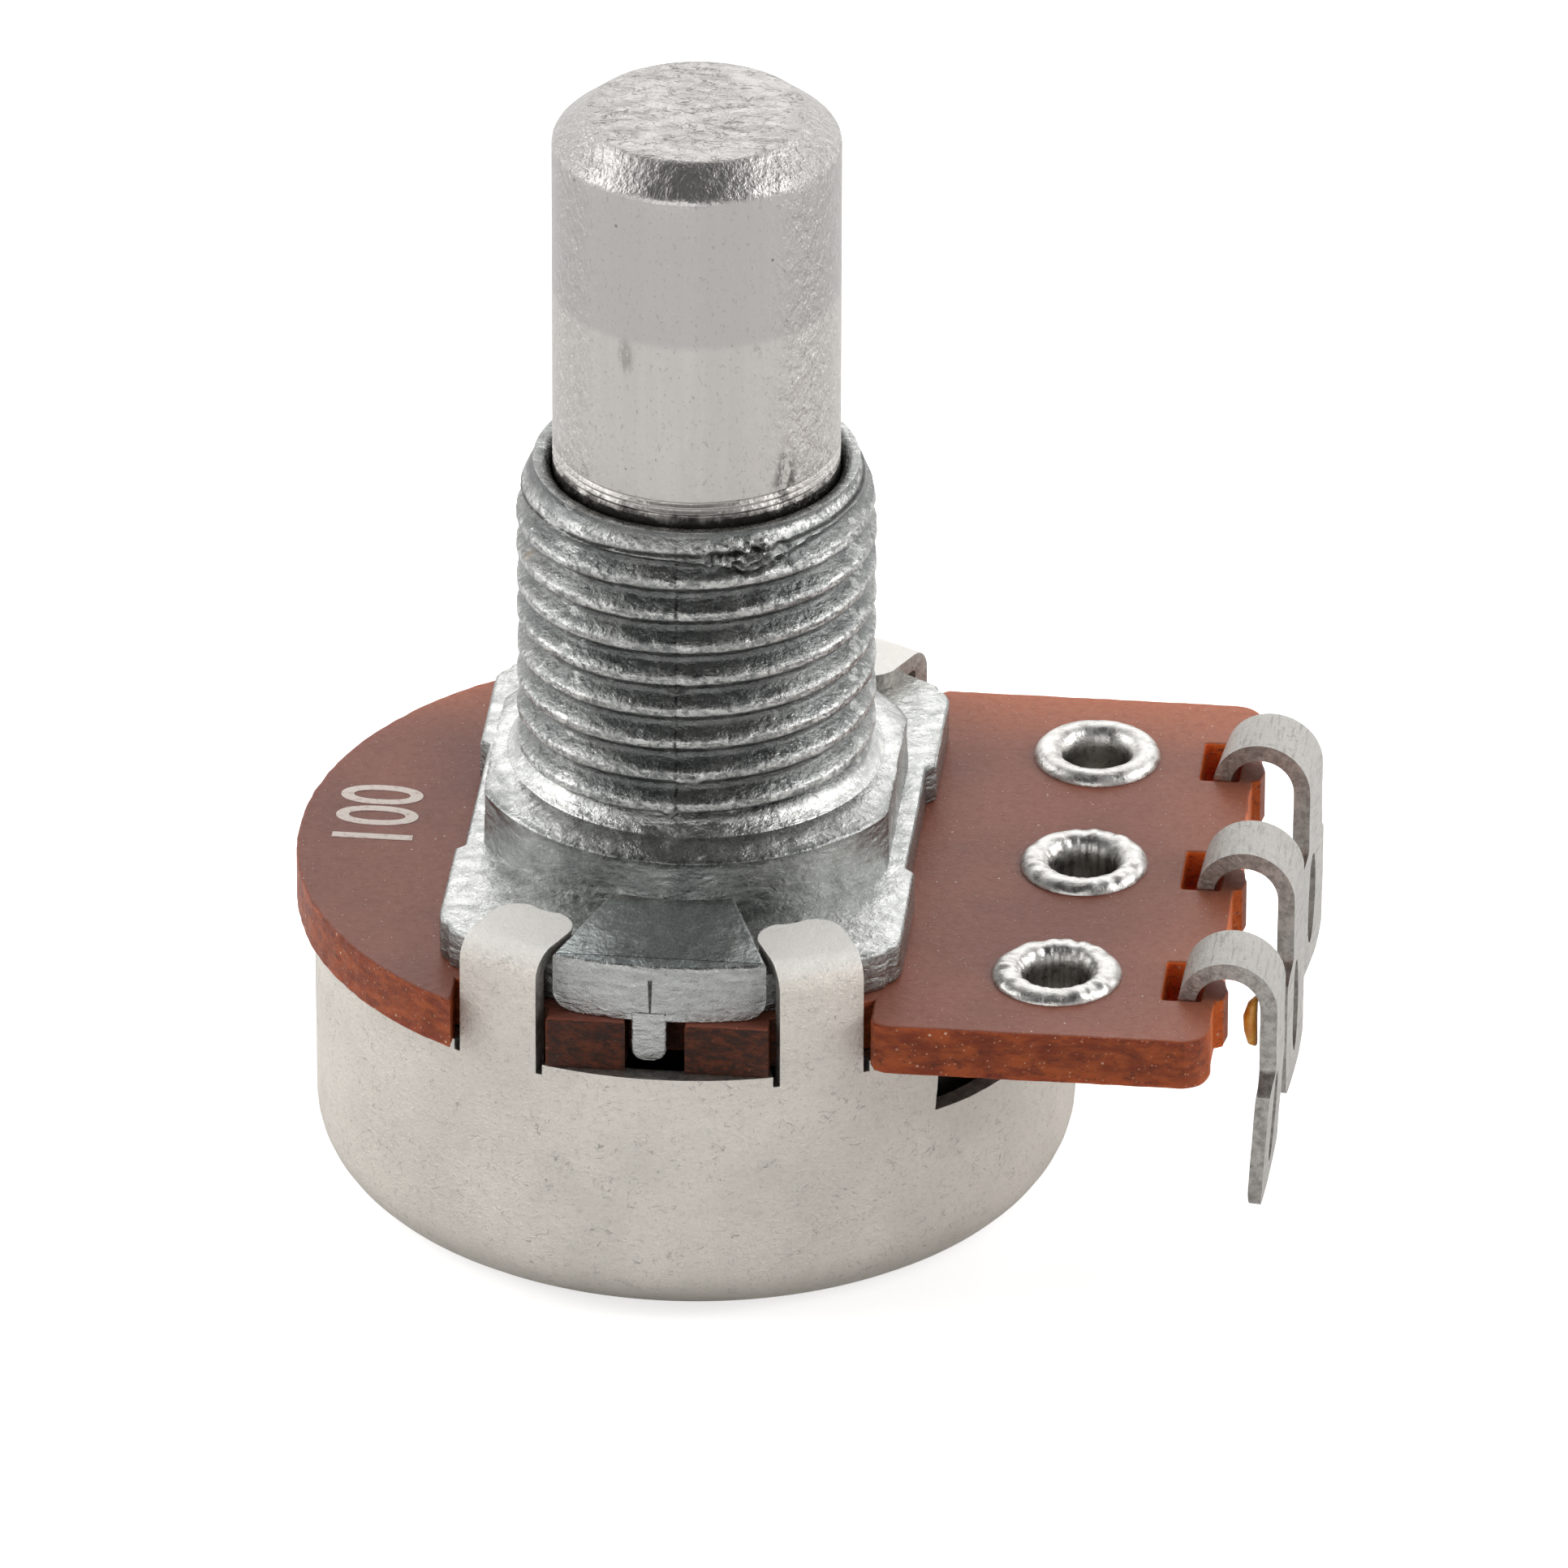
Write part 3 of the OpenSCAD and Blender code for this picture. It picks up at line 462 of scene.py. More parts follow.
def cast_zinc():
    """Die casting: plate and seat made pale on top by painted light, slate-dark lug tops, worn
    thread with painted highlights and painted shade, painted shade in hollows, dark mouth with
    painted shade down the bore.
    """
    p = Paint("cast_zinc", 0.3, 1.0)
    grain = p.grain(7.0, 4, 0.7)
    scratch = p.grain(2.2, 5, 0.7, (1, 1, 2.5), 0.5)
    patches = p.grain(0.6, 3, 0.5, (1, 1, 1.5))
    height, across, outside = p.level(2), p.level(1), p.radius()
    upward = p.spread(p.facing(2), 0.7, 0.92)
    rough = p.spread(height, 10.1, 10.4, 0.35, 1.0)
    p.base(p.spread(patches, 0.35, 0.65), (0.21, 0.22, 0.216), (0.31, 0.316, 0.306))
    p.tint(p.times(rough, p.spread(grain, 0.46, 0.32, 0.0, 0.36)), (0.13, 0.137, 0.135))
    p.tint(p.times(rough, p.spread(grain, 0.54, 0.66, 0.0, 0.26)), (0.62, 0.62, 0.6))
    paint_flats(p, height, across, upward, scratch, patches)
    thread = p.times(p.spread(height, 10.1, 10.2), p.spread(outside, 3.4, 3.48))
    paint_thread(p, thread, across, grain, scratch)
    mouth = p.times(p.spread(height, 16.8, 17.0), p.spread(outside, 3.46, 3.4))
    p.tint(p.times(mouth, p.spread(scratch, 0.35, 0.6, 0.45, 0.0)), (0.09, 0.088, 0.082))
    # painted shade down into the bore, between the bushing and the shaft
    bore = p.times(p.spread(height, 17.06, 16.92, 0.0, 0.8), p.spread(outside, 3.36, 3.28))
    p.tint(bore, (0.06, 0.058, 0.053))
    # painted shade in hollows; the next line lightens outer edges as wear
    p.tint(p.spread(p.pointed(), 0.49, 0.44, 0.0, 0.4), (0.09, 0.09, 0.088))
    p.tint(p.spread(p.pointed(), 0.52, 0.58, 0.0, 0.4), (0.66, 0.665, 0.645))
    p.bumps((patches, 0.07), (scratch, 0.058), (p.times(grain, rough), 0.022),
            (p.cells(7.0), 0.006))
    return p.done(p.spread(grain, 0.35, 0.65, 0.21, 0.32))


def paint_flats(p, height, across, upward, scratch, patches):
    """Plate and seat made paler on top by painted light, front faces made lighter by painted light,
    the seat's dark ridge, barrel's foot and the lugs with fine scratches.
    """
    # painted light: the up-facing plate and seat are made paler, broken up by scratches
    seat = p.times(p.spread(height, 9.7, 9.76), p.spread(height, 10.0, 9.95))
    plate = p.sum("MAXIMUM", p.spread(height, 8.54, 8.48), seat)
    p.tint(p.times(plate, p.spread(scratch, 0.3, 0.6, 0.35, 0.85), upward), (0.62, 0.625, 0.605))
    # painted light: faces at the front, beyond y = -7.7 mm, are made lighter
    p.tint(p.spread(across, -7.7, -7.8, 0.0, 0.75), (0.52, 0.525, 0.51))
    ridge = p.spread(p.off(height, 9.665), 0.035, 0.012)
    p.tint(p.times(ridge, p.spread(scratch, 0.38, 0.5, 0.3, 0.9)), (0.1, 0.103, 0.1))
    foot = p.times(p.spread(height, 9.88, 9.92), p.spread(height, 10.32, 10.16))
    p.tint(p.times(foot, p.spread(scratch, 0.3, 0.6, 0.55, 0.9)), (0.7, 0.705, 0.68))
    lug = p.times(p.spread(height, 8.66, 8.74), p.spread(p.off(across), 5.0, 5.3))
    slate = p.times(lug, upward, p.spread(patches, 0.3, 0.6, 0.9, 0.65))
    p.tint(slate, (0.56, 0.63, 0.635))
    hair = p.spread(p.off(p.grain(1.6, 2, 0.5, (1, 1.5, 1), 0.8), 0.5), 0.012, 0.003)
    p.tint(p.times(hair, upward, p.spread(scratch, 0.44, 0.52, 0.0, 0.9)), (0.88, 0.89, 0.88))


def paint_thread(p, thread, across, grain, scratch):
    """Dark valleys, worn crests with a painted highlight over a thin line of painted shade, the
    mould line and a brown spot.
    """
    crest = p.above_crest()
    p.tint(p.times(p.spread(p.off(crest), 0.16, 0.3, 0.0, 0.55), thread), (0.11, 0.114, 0.112))
    # worn crests, with a painted highlight along them
    patchy = p.times(p.spread(grain, 0.4, 0.54), p.spread(scratch, 0.38, 0.56, 0.15, 0.8))
    worn = p.times(p.spread(p.off(crest, 0.03), 0.15, 0.04), thread, patchy)
    p.tint(worn, (0.74, 0.735, 0.715))
    # painted shade: a thin dark line just under each crest, where the lower flank turns away; the
    # seam below is the real mould line
    line = p.spread(p.off(p.sum("ADD", crest, 0.135)), 0.07, 0.02)
    line = p.times(line, p.spread(scratch, 0.34, 0.5, 0.6, 1.0))
    seam = p.spread(p.off(p.sum("ADD", p.level(0), p.times(grain, 0.1))), 0.05, 0.02)
    seam = p.times(seam, p.spread(across, -3.3, -3.45), p.spread(scratch, 0.46, 0.58, 0.1, 0.9))
    p.tint(p.times(p.sum("MAXIMUM", line, seam), thread, 0.95), (0.035, 0.035, 0.033))
    p.tint(p.times(p.near((-3.68, -1.49, 15.56), 0.34, (1, 1, 0.8)), 0.85), (0.33, 0.19, 0.05))


def tinned_steel(name, colour, brushed=0.0):
    """Satin tinned sheet: fine crinkle, small pits and, if brushed, marks across the bends."""
    p = Paint(name, 0.4, 0.82)
    mottle = p.grain(4.5, 6, 0.75)
    fine = p.grain(15.0, 4, 0.7)
    broad = p.grain(0.5, 3, 0.5)
    across = p.grain(12.0, 3, 0.6, (1, 0.12, 1))
    crumple = p.grain(9.0, 5, 0.75, (1, 1, 1.3), 0.6)
    p.base(p.spread(broad, 0.35, 0.65), colour, scaled(colour, 0.92))
    p.tint(p.spread(mottle, 0.5, 0.72, 0.0, 0.35), scaled(colour, 0.66))
    p.tint(p.spread(crumple, 0.56, 0.68, 0.0, 0.55), scaled(colour, 0.5))
    p.tint(p.spread(fine, 0.62, 0.74, 0.0, 0.5), scaled(colour, 0.38))
    p.tint(p.spread(across, 0.5, 0.7, 0.0, 0.6 * brushed), scaled(colour, 0.45))
    hair = p.spread(p.off(p.grain(0.9, 3, 0.5, (1, 1, 1.6), 1.2), 0.5), 0.008, 0.002)
    p.tint(p.times(hair, p.spread(mottle, 0.46, 0.56, 0.0, 0.6)), scaled(colour, 0.35))
    # darker towards the bottom, below 1.3 mm
    p.tint(p.spread(p.level(2), 1.3, 0.1, 0.0, 0.4), scaled(colour, 0.4))
    # painted highlight: the tab and hook tops, above 8.45 mm, turn near white and less metallic
    p.tint(p.spread(p.level(2), 8.45, 8.8, 0.0, 0.85), (0.98, 0.955, 0.91))
    p.set("Metallic", p.spread(p.level(2), 8.35, 8.75, 0.82, 0.4))
    p.bumps((mottle, 0.045), (crumple, 0.034), (fine, 0.014), (broad, 0.09),
            (across, 0.012 * brushed))
    return p.done(p.spread(mottle, 0.3, 0.7, 0.28, 0.42))


def eyelet_metal():
    """Tinned brass ring: pale worn flange, with painted shade making it greyer down the bore."""
    p = Paint("eyelet_metal", 0.36, 0.95)
    wear = p.grain(3.5, 4, 0.65)
    fine = p.grain(9.0, 4, 0.7)
    p.base(p.spread(wear, 0.38, 0.58), (0.5, 0.487, 0.465), (0.72, 0.706, 0.68))
    p.tint(p.spread(fine, 0.6, 0.72, 0.0, 0.6), (0.18, 0.17, 0.155))
    # painted shade: darker down the bore
    p.tint(p.spread(p.level(2), 7.46, 6.95, 0.0, 0.8), (0.21, 0.195, 0.17))
    p.bumps((wear, 0.018), (fine, 0.012))
    return p.done(p.spread(wear, 0.35, 0.65, 0.26, 0.42))


def sheared_edge():
    """Cut edge of sheet metal: grey, with short marks across it."""
    p = Paint("sheared_edge", 0.45, 0.9)
    marks = p.grain(5.0, 4, 0.7)
    fine = p.grain(12.0, 4, 0.65)
    p.base(p.spread(marks, 0.35, 0.65), (0.3, 0.285, 0.265), (0.5, 0.48, 0.45))
    p.tint(p.spread(fine, 0.58, 0.72, 0.0, 0.45), (0.14, 0.13, 0.118))
    p.bumps((marks, 0.025), (fine, 0.008))
    return p.done()


def laminate_face():
    """Pressed paper and resin: fine mottle, pale dust, and painted light making it more orange to
    the rear and right.
    """
    p = Paint("laminate_face", 0.42, 0.0)
    mottle = p.grain(5.0, 5, 0.7)
    fine = p.grain(14.0, 4, 0.65)
    broad = p.grain(0.3, 3, 0.5)
    p.base(p.spread(broad, 0.35, 0.65), (0.225, 0.07, 0.044), (0.285, 0.092, 0.056))
    # painted light: more orange to the rear and right, as if lit through the board
    rear, right = p.spread(p.level(1), 4.0, 8.2), p.spread(p.level(0), 9.0, 12.4, 0.0, 0.4)
    p.tint(p.times(p.sum("MAXIMUM", rear, right), 0.8), (0.48, 0.135, 0.05))
    p.tint(p.spread(mottle, 0.45, 0.7, 0.0, 0.3), (0.14, 0.055, 0.04))
    p.tint(p.spread(fine, 0.58, 0.74, 0.0, 0.35), (0.46, 0.29, 0.24))
    p.tint(p.dust(2.3, 0.06, broad), (0.8, 0.68, 0.61))
    p.tint(p.dust(5.5, 0.1, mottle), (0.7, 0.56, 0.5))
    p.bumps((mottle, 0.012), (fine, 0.008))
    p.set("Specular IOR Level", 0.26)
    p.glow_through(0.15)
    return p.done(p.spread(mottle, 0.3, 0.7, 0.34, 0.46))


def laminate_edge():
    """Punched side of the board: orange-brown, pitted, with pale crumbs; painted glow of light
    through at the tongue's end and painted shade under the lug.
    """
    p = Paint("laminate_edge", 0.38, 0.0)
    layers = p.grain(1.5, 5, 0.65, (1, 1, 2.5))
    pits = p.grain(4.5, 5, 0.75, (1, 1, 1.8))
    p.base(p.spread(layers, 0.35, 0.65), (0.21, 0.034, 0.008), (0.41, 0.085, 0.018))
    # painted light: the tongue's end glows bright orange, as if lit from behind
    end = p.times(p.spread(p.level(0), 10.6, 10.75), p.spread(p.off(p.level(1)), 7.6, 6.4))
    end = p.times(end, p.spread(p.level(0), 11.85, 12.0, 1.0, 0.65))
    p.tint(p.times(end, 0.85), (1.0, 0.2, 0.03))
    p.tint(p.spread(pits, 0.52, 0.68, 0.0, 0.65), (0.07, 0.018, 0.008))
    p.tint(p.dust(3.0, 0.13, layers), (0.8, 0.54, 0.4))
    p.tint(p.dust(7.0, 0.2, pits), (0.62, 0.34, 0.2))
    # painted shade on the land under the front lug
    land = p.times(p.spread(p.off(p.level(0)), 2.7, 2.55), p.spread(p.level(1), -6.9, -7.1))
    p.tint(p.times(land, p.spread(pits, 0.38, 0.6, 0.72, 0.98)), (0.03, 0.011, 0.006))
    p.bumps((layers, 0.06), (pits, 0.09))
    p.set("Specular IOR Level", 0.3)
    p.glow_through(0.2)
    return p.done()


def speckled(name, roughness, metallic, noise_values, ends, light, dark, relief=0.0, clear=0.0):
    """Plain material: two colours mixed by one noise, some relief and some clearness."""
    p = Paint(name, roughness, metallic)
    mottle = p.grain(*noise_values)
    p.base(p.spread(mottle, *ends), light, dark)
    if relief:
        p.bumps((mottle, relief))
    if clear:
        p.set("Transmission Weight", clear)
    return p.done()


def amber_resin():
    return speckled("amber_resin", 0.28, 0.0, (4.0, 4, 0.6), (0.35, 0.65),
                    (0.72, 0.27, 0.03), (0.88, 0.45, 0.07), 0.04, 0.25)


def marking_ink():
    return speckled("marking_ink", 0.6, 0.0, (7.0, 4, 0.65), (0.5, 0.68, 0.0, 0.6),
                    (0.86, 0.76, 0.69), (0.55, 0.38, 0.31))


def black_moulding():
    return speckled("black_moulding", 0.5, 0.0, (20.0, 3, 0.6), (0.4, 0.7),
                    (0.018, 0.018, 0.018), (0.05, 0.048, 0.046), 0.01)


def carbon_print():
    return speckled("carbon_print", 0.6, 0.0, (40.0, 3, 0.6), (0.4, 0.7),
                    (0.012, 0.012, 0.013), (0.04, 0.04, 0.042), 0.004)


def silver_print():
    return speckled("silver_print", 0.55, 0.7, (40.0, 3, 0.6), (0.4, 0.7),
                    (0.62, 0.61, 0.58), (0.82, 0.81, 0.78), 0.004)


def spring_alloy(name, light, dark):
    return speckled(name, 0.34, 0.95, (10.0, 4, 0.6, (1, 0.2, 1)), (0.35, 0.65),
                    light, dark, 0.006)


# Pieces

def make_shaft(metal):
    """Round rod with a rolled bevel, fine rings above the bushing, a groove and a flatted tail."""
    tail_r, groove_r, flat = 2.3, 2.525, 1.7
    bevel = ((2.3, 0.0), (2.40, 0.012), (2.475, 0.05), (2.6, 0.155), (2.85, 0.35), (3.03, 0.49),
             (3.12, 0.585), (3.162, 0.67), (SHAFT_R, 0.78))
    profile = [(0, SHAFT_TOP), (1.2, SHAFT_TOP)] + [(r, SHAFT_TOP - down) for r, down in bevel]
    profile += [(SHAFT_R, z) for z in np.arange(24.5, 18.0, -0.5)]
    for i in range(3):
        z = 17.34 + 0.156 * (2 - i)
        ring = ((0.0, 0.07), (0.045, 0.035), (0.06, 0.0), (0.045, -0.035), (0.0, -0.07))
        profile += [(SHAFT_R - deep, z + up) for deep, up in ring]
    profile += [(SHAFT_R, 16.0), (SHAFT_R, 5.9), (groove_r, 5.9), (groove_r, 5.4), (SHAFT_R, 5.4),
                (SHAFT_R, 5.0), (tail_r, 5.0), (tail_r, 2.45), (2.6, 2.25), (0, 2.25)]

    def flatted(points, theta):
        tail = points[:, 2] < 4.99
        points[tail, 1] = np.clip(points[tail, 1], -flat, flat)
        return points

    shape = Shape()
    turned(shape, profile, 192, change=flatted)
    return shape.make("shaft_rod", [metal], "spindle", ["shaft"], sharp=30)


# Crumbs on the mould line: angle, height, half width, half height, rise
CRUMBS = ((-86.6, 11.15, 0.06, 0.11, 0.3), (-92.6, 10.25, 0.03, 0.17, 0.25),
          (-90.5, 13.35, 0.035, 0.12, 0.2))


def thread_points(points, theta):
    """Cuts the thread, its lead, its mould line and its damage into the barrel's outer skin."""
    z = points[:, 2]
    r = np.hypot(points[:, 0], points[:, 1])
    turn = (z - CREST_Z) / PITCH - (theta + math.pi / 2) / TURN
    off = np.abs(turn - np.round(turn)) * PITCH
    cut = part_way(off, 0.075, 0.345)
    cut = 0.5 * cut + 0.5 * eased(cut)
    depth = THREAD_DEPTH * (1 - 0.75 * bell(z, 16.75, 0.3) * spot(theta, -70, 0.45))
    lead = np.interp(z, [16.0, 16.42, 16.83, 17.12, 17.2], [3.975, 3.91, 3.74, 3.56, 3.49])
    wall = np.minimum(THREAD_R - depth * cut, lead)
    grain = noise_at(points, 0.35, 1)
    coarse = noise_at(points, 1.4, 2)
    wall = wall + 0.018 * grain + 0.012 * coarse
    seam = spot(theta, -90.2, 0.016) + spot(theta, 90, 0.016)
    wall = wall + seam * (0.05 * cut - 0.03)
    wall = wall + torn_turn(points, theta)
    for degrees, level, wide, high, rise in CRUMBS:
        wall = wall + rise * spot(theta, degrees, wide) * bell(z, level, high)
    wall = np.minimum(wall, THREAD_R + 0.08)
    flare = np.interp(z, [9.88, 9.93, 10.0, 10.1, 10.22, 10.4],
                      [4.22, 4.14, 4.03, 3.93, 3.84, 3.6])
    wall = np.maximum(wall, flare + 0.012 * coarse)
    outer = part_way(r, 3.40, 3.48)
    scale = 1 + outer * (wall / np.maximum(r, 1e-6) - 1)
    points[:, :2] *= scale[:, None]
    return points


def torn_turn(points, theta):
    """Rise of the torn first turn: ragged metal, a turned-up lip and a crevice under it."""
    z = points[:, 2]
    torn = spot(theta, -67, 0.26) * bell(z, 16.60, 0.28)
    ragged = 1 - 3 * np.abs(noise_at(points, 0.26, 3))
    lip = spot(theta, -60, 0.13) * bell(z, 16.48 + 0.05 * np.sin(theta * 40), 0.06)
    crevice = spot(theta, -66, 0.17) * bell(z, 16.30 + 0.06 * np.sin(theta * 23), 0.05)
    worn = bell(z, 16.0, 0.9) * noise_at(points, 0.16, 15)
    return torn * (0.08 + 0.24 * ragged) + 0.2 * lip - 0.24 * crevice + 0.02 * worn


def boss_points(points, theta):
    """Cuts the boss's two flats, with soft corners, and roughens its skin."""
    x = points[:, 0]
    limit = 4.5 + 0.02 * noise_at(points, 0.8, 4)
    points[:, 0] = np.sign(x) * np.minimum(np.abs(x), limit)
    outer = part_way(np.hypot(x, points[:, 1]), 4.0, 4.6)
    swell = 1 + 0.006 * noise_at(points, 0.7, 5) * outer
    points[:, :2] *= swell[:, None]
    return points


def plate_outline():
    """Plan of the plate: round ends, straight sides with a step to the wider corners."""
    waist, side, end_r = 4.92, 5.12, 7.75
    corner = math.sqrt(end_r ** 2 - side ** 2)
    quarter = [(waist, 0), (waist, 2.3), (side, 2.5), (side, corner - 0.5)]
    quarter += [(5.10, corner - 0.28), (5.02, corner - 0.08), (4.86, corner + 0.08)]
    start = math.degrees(math.atan2(corner + 0.16, 4.72))
    quarter += arc(0, 0, end_r, start, 90, 12)
    right = quarter + [(-x, y) for x, y in quarter[-2:0:-1]]
    return np.array(right + [(-x, -y) for x, y in right])


def lug_slice(half, reach, tail_half, tail_y):
    """Plan of the front lug at one height, anticlockwise from its left rear corner."""
    front_y = -7.64
    angle = math.degrees(math.atan2(-front_y, half))
    bow = arc(0, 0, reach, -180 + angle, -angle, 15)
    bow = [(float(np.clip(x, -half, half)), y) for x, y in bow]
    left, right = [(-tail_half, tail_y), (-half, front_y)], [(half, front_y), (tail_half, tail_y)]
    return np.array(left + bow + right, float)


def make_lug(shape, side):
    """Fan-shaped lug with round lower corners; side is 1 for the front, -1 for the rear."""
    low, high, corner, edge = PLATE_Z + 0.02, 8.78, 0.45, 0.09
    levels = [(low + corner * (1 - math.cos(t)), corner * (1 - math.sin(t)), 0)
              for t in np.radians([0, 20, 40, 60, 75, 90])]
    levels += [(high - edge * (1 - math.cos(t)), 0, edge * (1 - math.sin(t)))
               for t in np.radians([90, 60, 30, 0])]
    loops = []
    for z, narrow, back in levels:
        loop = lug_slice(2.35 - narrow - back, LUG_R - back, 1.30 - back, -4.6)
        loops.append(at_height(loop * (1, side), z))
    stacked(shape, loops)


def make_key(shape):
    """Small round-ended key under the front lug."""
    middle = -0.2
    key = rounded([(-0.6, -8.04), (0.2, -8.04), (0.2, -7.3), (-0.6, -7.3)], 0.08)
    loops = []
    for z, squeeze in ((7.6, 1), (6.72, 1), (6.60, 0.96), (6.52, 0.84), (6.47, 0.66), (6.44, 0.35)):
        x = (key[:, 0] - middle) * squeeze + middle
        loops.append(at_height(np.column_stack([x, key[:, 1]]), z))
    stacked(shape, loops)


def make_bushing(zinc):
    """Die casting: barrel with a true helical thread, boss, plate, lugs, key, hub, stop finger."""
    hub_r, finger_r, hub_z = 4.2, 3.65, 5.9
    shape = Shape()
    outer = sampled([(3.7, 9.6), (3.7, MOUTH_Z - 0.04)], 0.032)
    lip = [(3.5, MOUTH_Z - 0.01), (3.455, MOUTH_Z), (3.40, MOUTH_Z - 0.02),
           (3.32, MOUTH_Z - 0.07), (3.25, MOUTH_Z - 0.15)]
    inner = [(BORE_R, MOUTH_Z - 0.24), (BORE_R, 14.0), (BORE_R, 9.6)]
    turned(shape, np.concatenate([outer, lip, inner]), 300, change=thread_points)
    boss = [(BORE_R, 8.2), (5.02, 8.2), (5.01, 8.4), (4.98, 8.9), (4.955, 9.5), (4.955, 9.61),
            (4.985, 9.645), (5.0, 9.665), (4.985, 9.69), (4.93, 9.715), (4.8, 9.77), (4.62, 9.85),
            (4.5, 9.885), (4.42, SEAT_Z), (3.9, SEAT_Z), (3.5, SEAT_Z)]
    turned(shape, sampled(boss, 0.12), 240, change=boss_points)

    def rough_skin(points):
        points[:, 0] += 0.02 * noise_at(points, 0.9, 6)
        points[:, 2] -= 0.012 * np.abs(noise_at(points, 1.2, 7)) * (points[:, 2] > 8.0)
        return points

    slab(shape, plate_outline(), PLATE_Z, PLATE_TOP, 0.10, rough_skin)
    make_lug(shape, 1)
    make_lug(shape, -1)
    make_key(shape)
    hub = [(BORE_R, 7.6), (hub_r, 7.6), (hub_r, hub_z + 0.05), (hub_r - 0.05, hub_z),
           (BORE_R, hub_z)]
    turned(shape, hub, 120, close=True)
    finger = arc(0, 0, hub_r - 0.05, -15, 15, 9) + arc(0, 0, finger_r, 15, -15, 9)
    slab(shape, np.array(finger), 4.75, 6.0, 0.05)
    return shape.make("bushing_cast", [zinc], "housing", ["bushing"], sharp=42)


def nick_mark(dark):
    """Fine tapered line in the lug's face, with the short line at its foot."""
    strokes = [((-0.17, 7.62), (-0.17, 8.42), 0.022, 0.05),
               ((-0.42, 7.60), (0.18, 7.585), 0.02, 0.02)]
    shape = Shape()
    for start, end, start_half, end_half in strokes:
        a, b = np.array(start), np.array(end)
        along = b - a
        across = np.array([-along[1], along[0]]) / np.linalg.norm(along)
        ring = [a - across * start_half, b - across * end_half,
                b + across * end_half, a + across * start_half]
        loops = []
        for depth in (-0.006, 0.05):
            loops.append(np.array([(x, depth - math.sqrt(LUG_R ** 2 - x * x), z) for x, z in ring]))
        stacked(shape, loops)
    return shape.make("lug_nick", [dark], "housing")


def can_path():
    """Outer line of the can from the base's middle to the tabs' ends.

    Each row holds radius, height, the normal's two parts and the distance left to the tab's end.
    """
    top, bend, base, far = PLATE_TOP + SHEET, 0.6, 1.45, 9.0
    rows = [(r, 0.0, 0.0, -1.0, far) for r in (0.0, 1.5, 3.0, 4.5, 5.8, 6.6, CAN_R - base)]
    for t in np.radians(np.linspace(-80, -10, 8)):
        c, s = math.cos(t), math.sin(t)
        rows.append((CAN_R - base + base * c, base + base * s, c, s, far))
    levels = [base, 1.8, 2.2, 2.6, 3.0, 3.4, 3.8, 4.1, 4.35, 4.6, 4.9, 5.2, 5.5, 5.8, 5.95, 6.08,
              RIM_Z, 6.5, 6.8, 7.1, 7.4, 7.7, 8.0, top - bend]
    rows += [(CAN_R, z, 1.0, 0.0, far) for z in levels]
    for t in np.radians(np.linspace(12, 90, 9)):
        c, s = math.cos(t), math.sin(t)
        rows.append((CAN_R - bend + bend * c, top - bend + bend * s, c, s, far))
    flat = TAB_REACH - bend
    for left in (flat * 0.85, flat * 0.7, TAB_CORNER, 0.55, 0.42, 0.3, 0.2, 0.12, 0.06, 0.02, 0.0):
        rows.append((CAN_R - TAB_REACH + left, top, 0.0, 1.0, left))
    return np.array(rows)


def can_columns():
    """Angles of the wall's columns, with one on each edge of the cut-outs."""
    nick = math.degrees(math.asin((TAB_HALF + 0.14) / CAN_R))
    edge = math.degrees(math.asin(TAB_HALF / CAN_R))
    marks = {-45.0, 45.0}
    for centre in TAB_ANGLES:
        marks |= {centre - nick, centre - edge, centre + edge, centre + nick}
    fixed = sorted(marks)
    free = [a for a in np.arange(-180, 180, 1.25) if min(abs(a - f) for f in fixed) > 0.5]
    return np.array(sorted(fixed + free)), nick, edge


def tab_narrowing(left):
    """Share of a tab's full width at a distance from its round end."""
    if left > TAB_CORNER:
        return 1.0
    gone = TAB_CORNER - math.sqrt(TAB_CORNER ** 2 - (TAB_CORNER - left) ** 2)
    return (TAB_HALF - gone) / TAB_HALF


def can_skin(path, degrees, depth):
    """Grid of points of the can's skin at a depth under its outer face."""
    theta = np.radians(degrees)
    nearest = np.array([min(TAB_ANGLES, key=lambda c: abs(d - c)) for d in degrees])
    lean = np.radians(degrees - nearest)
    c, s = np.cos(np.radians(nearest)), np.sin(np.radians(nearest))
    base = CAN_R - depth
    grid = []
    for row in path:
        r, z, left = row[0] - depth * row[2], row[1] - depth * row[3], row[4]
        level = np.full(len(degrees), z)
        if row[1] <= RIM_Z + 1e-6:
            grid.append(np.stack([r * np.cos(theta), r * np.sin(theta), level], -1))
            continue
        across = base * np.sin(lean) * tab_narrowing(left)
        out = r + base * np.cos(lean) - base
        grid.append(np.stack([out * c - across * s, out * s + across * c, level], -1))
    return dented(np.concatenate(grid))


def can_solid(path, degrees, nick, edge):
    """Table of the wall's cells, row by row: True where there is metal."""
    low, high = path[:-1, 1:2], path[1:, 1:2]
    z = (low + high) / 2
    d = (degrees + np.append(degrees[1:], degrees[0] + 360)) / 2
    near = np.abs(d[:, None] - TAB_ANGLES).min(1)
    opening = (np.abs(d) < 45) & (z > 4.35)
    nicks = (z > 5.95) & (edge < near) & (near < nick)
    return np.where(np.maximum(low, high) > RIM_Z + 1e-6, near < edge, ~(opening | nicks))


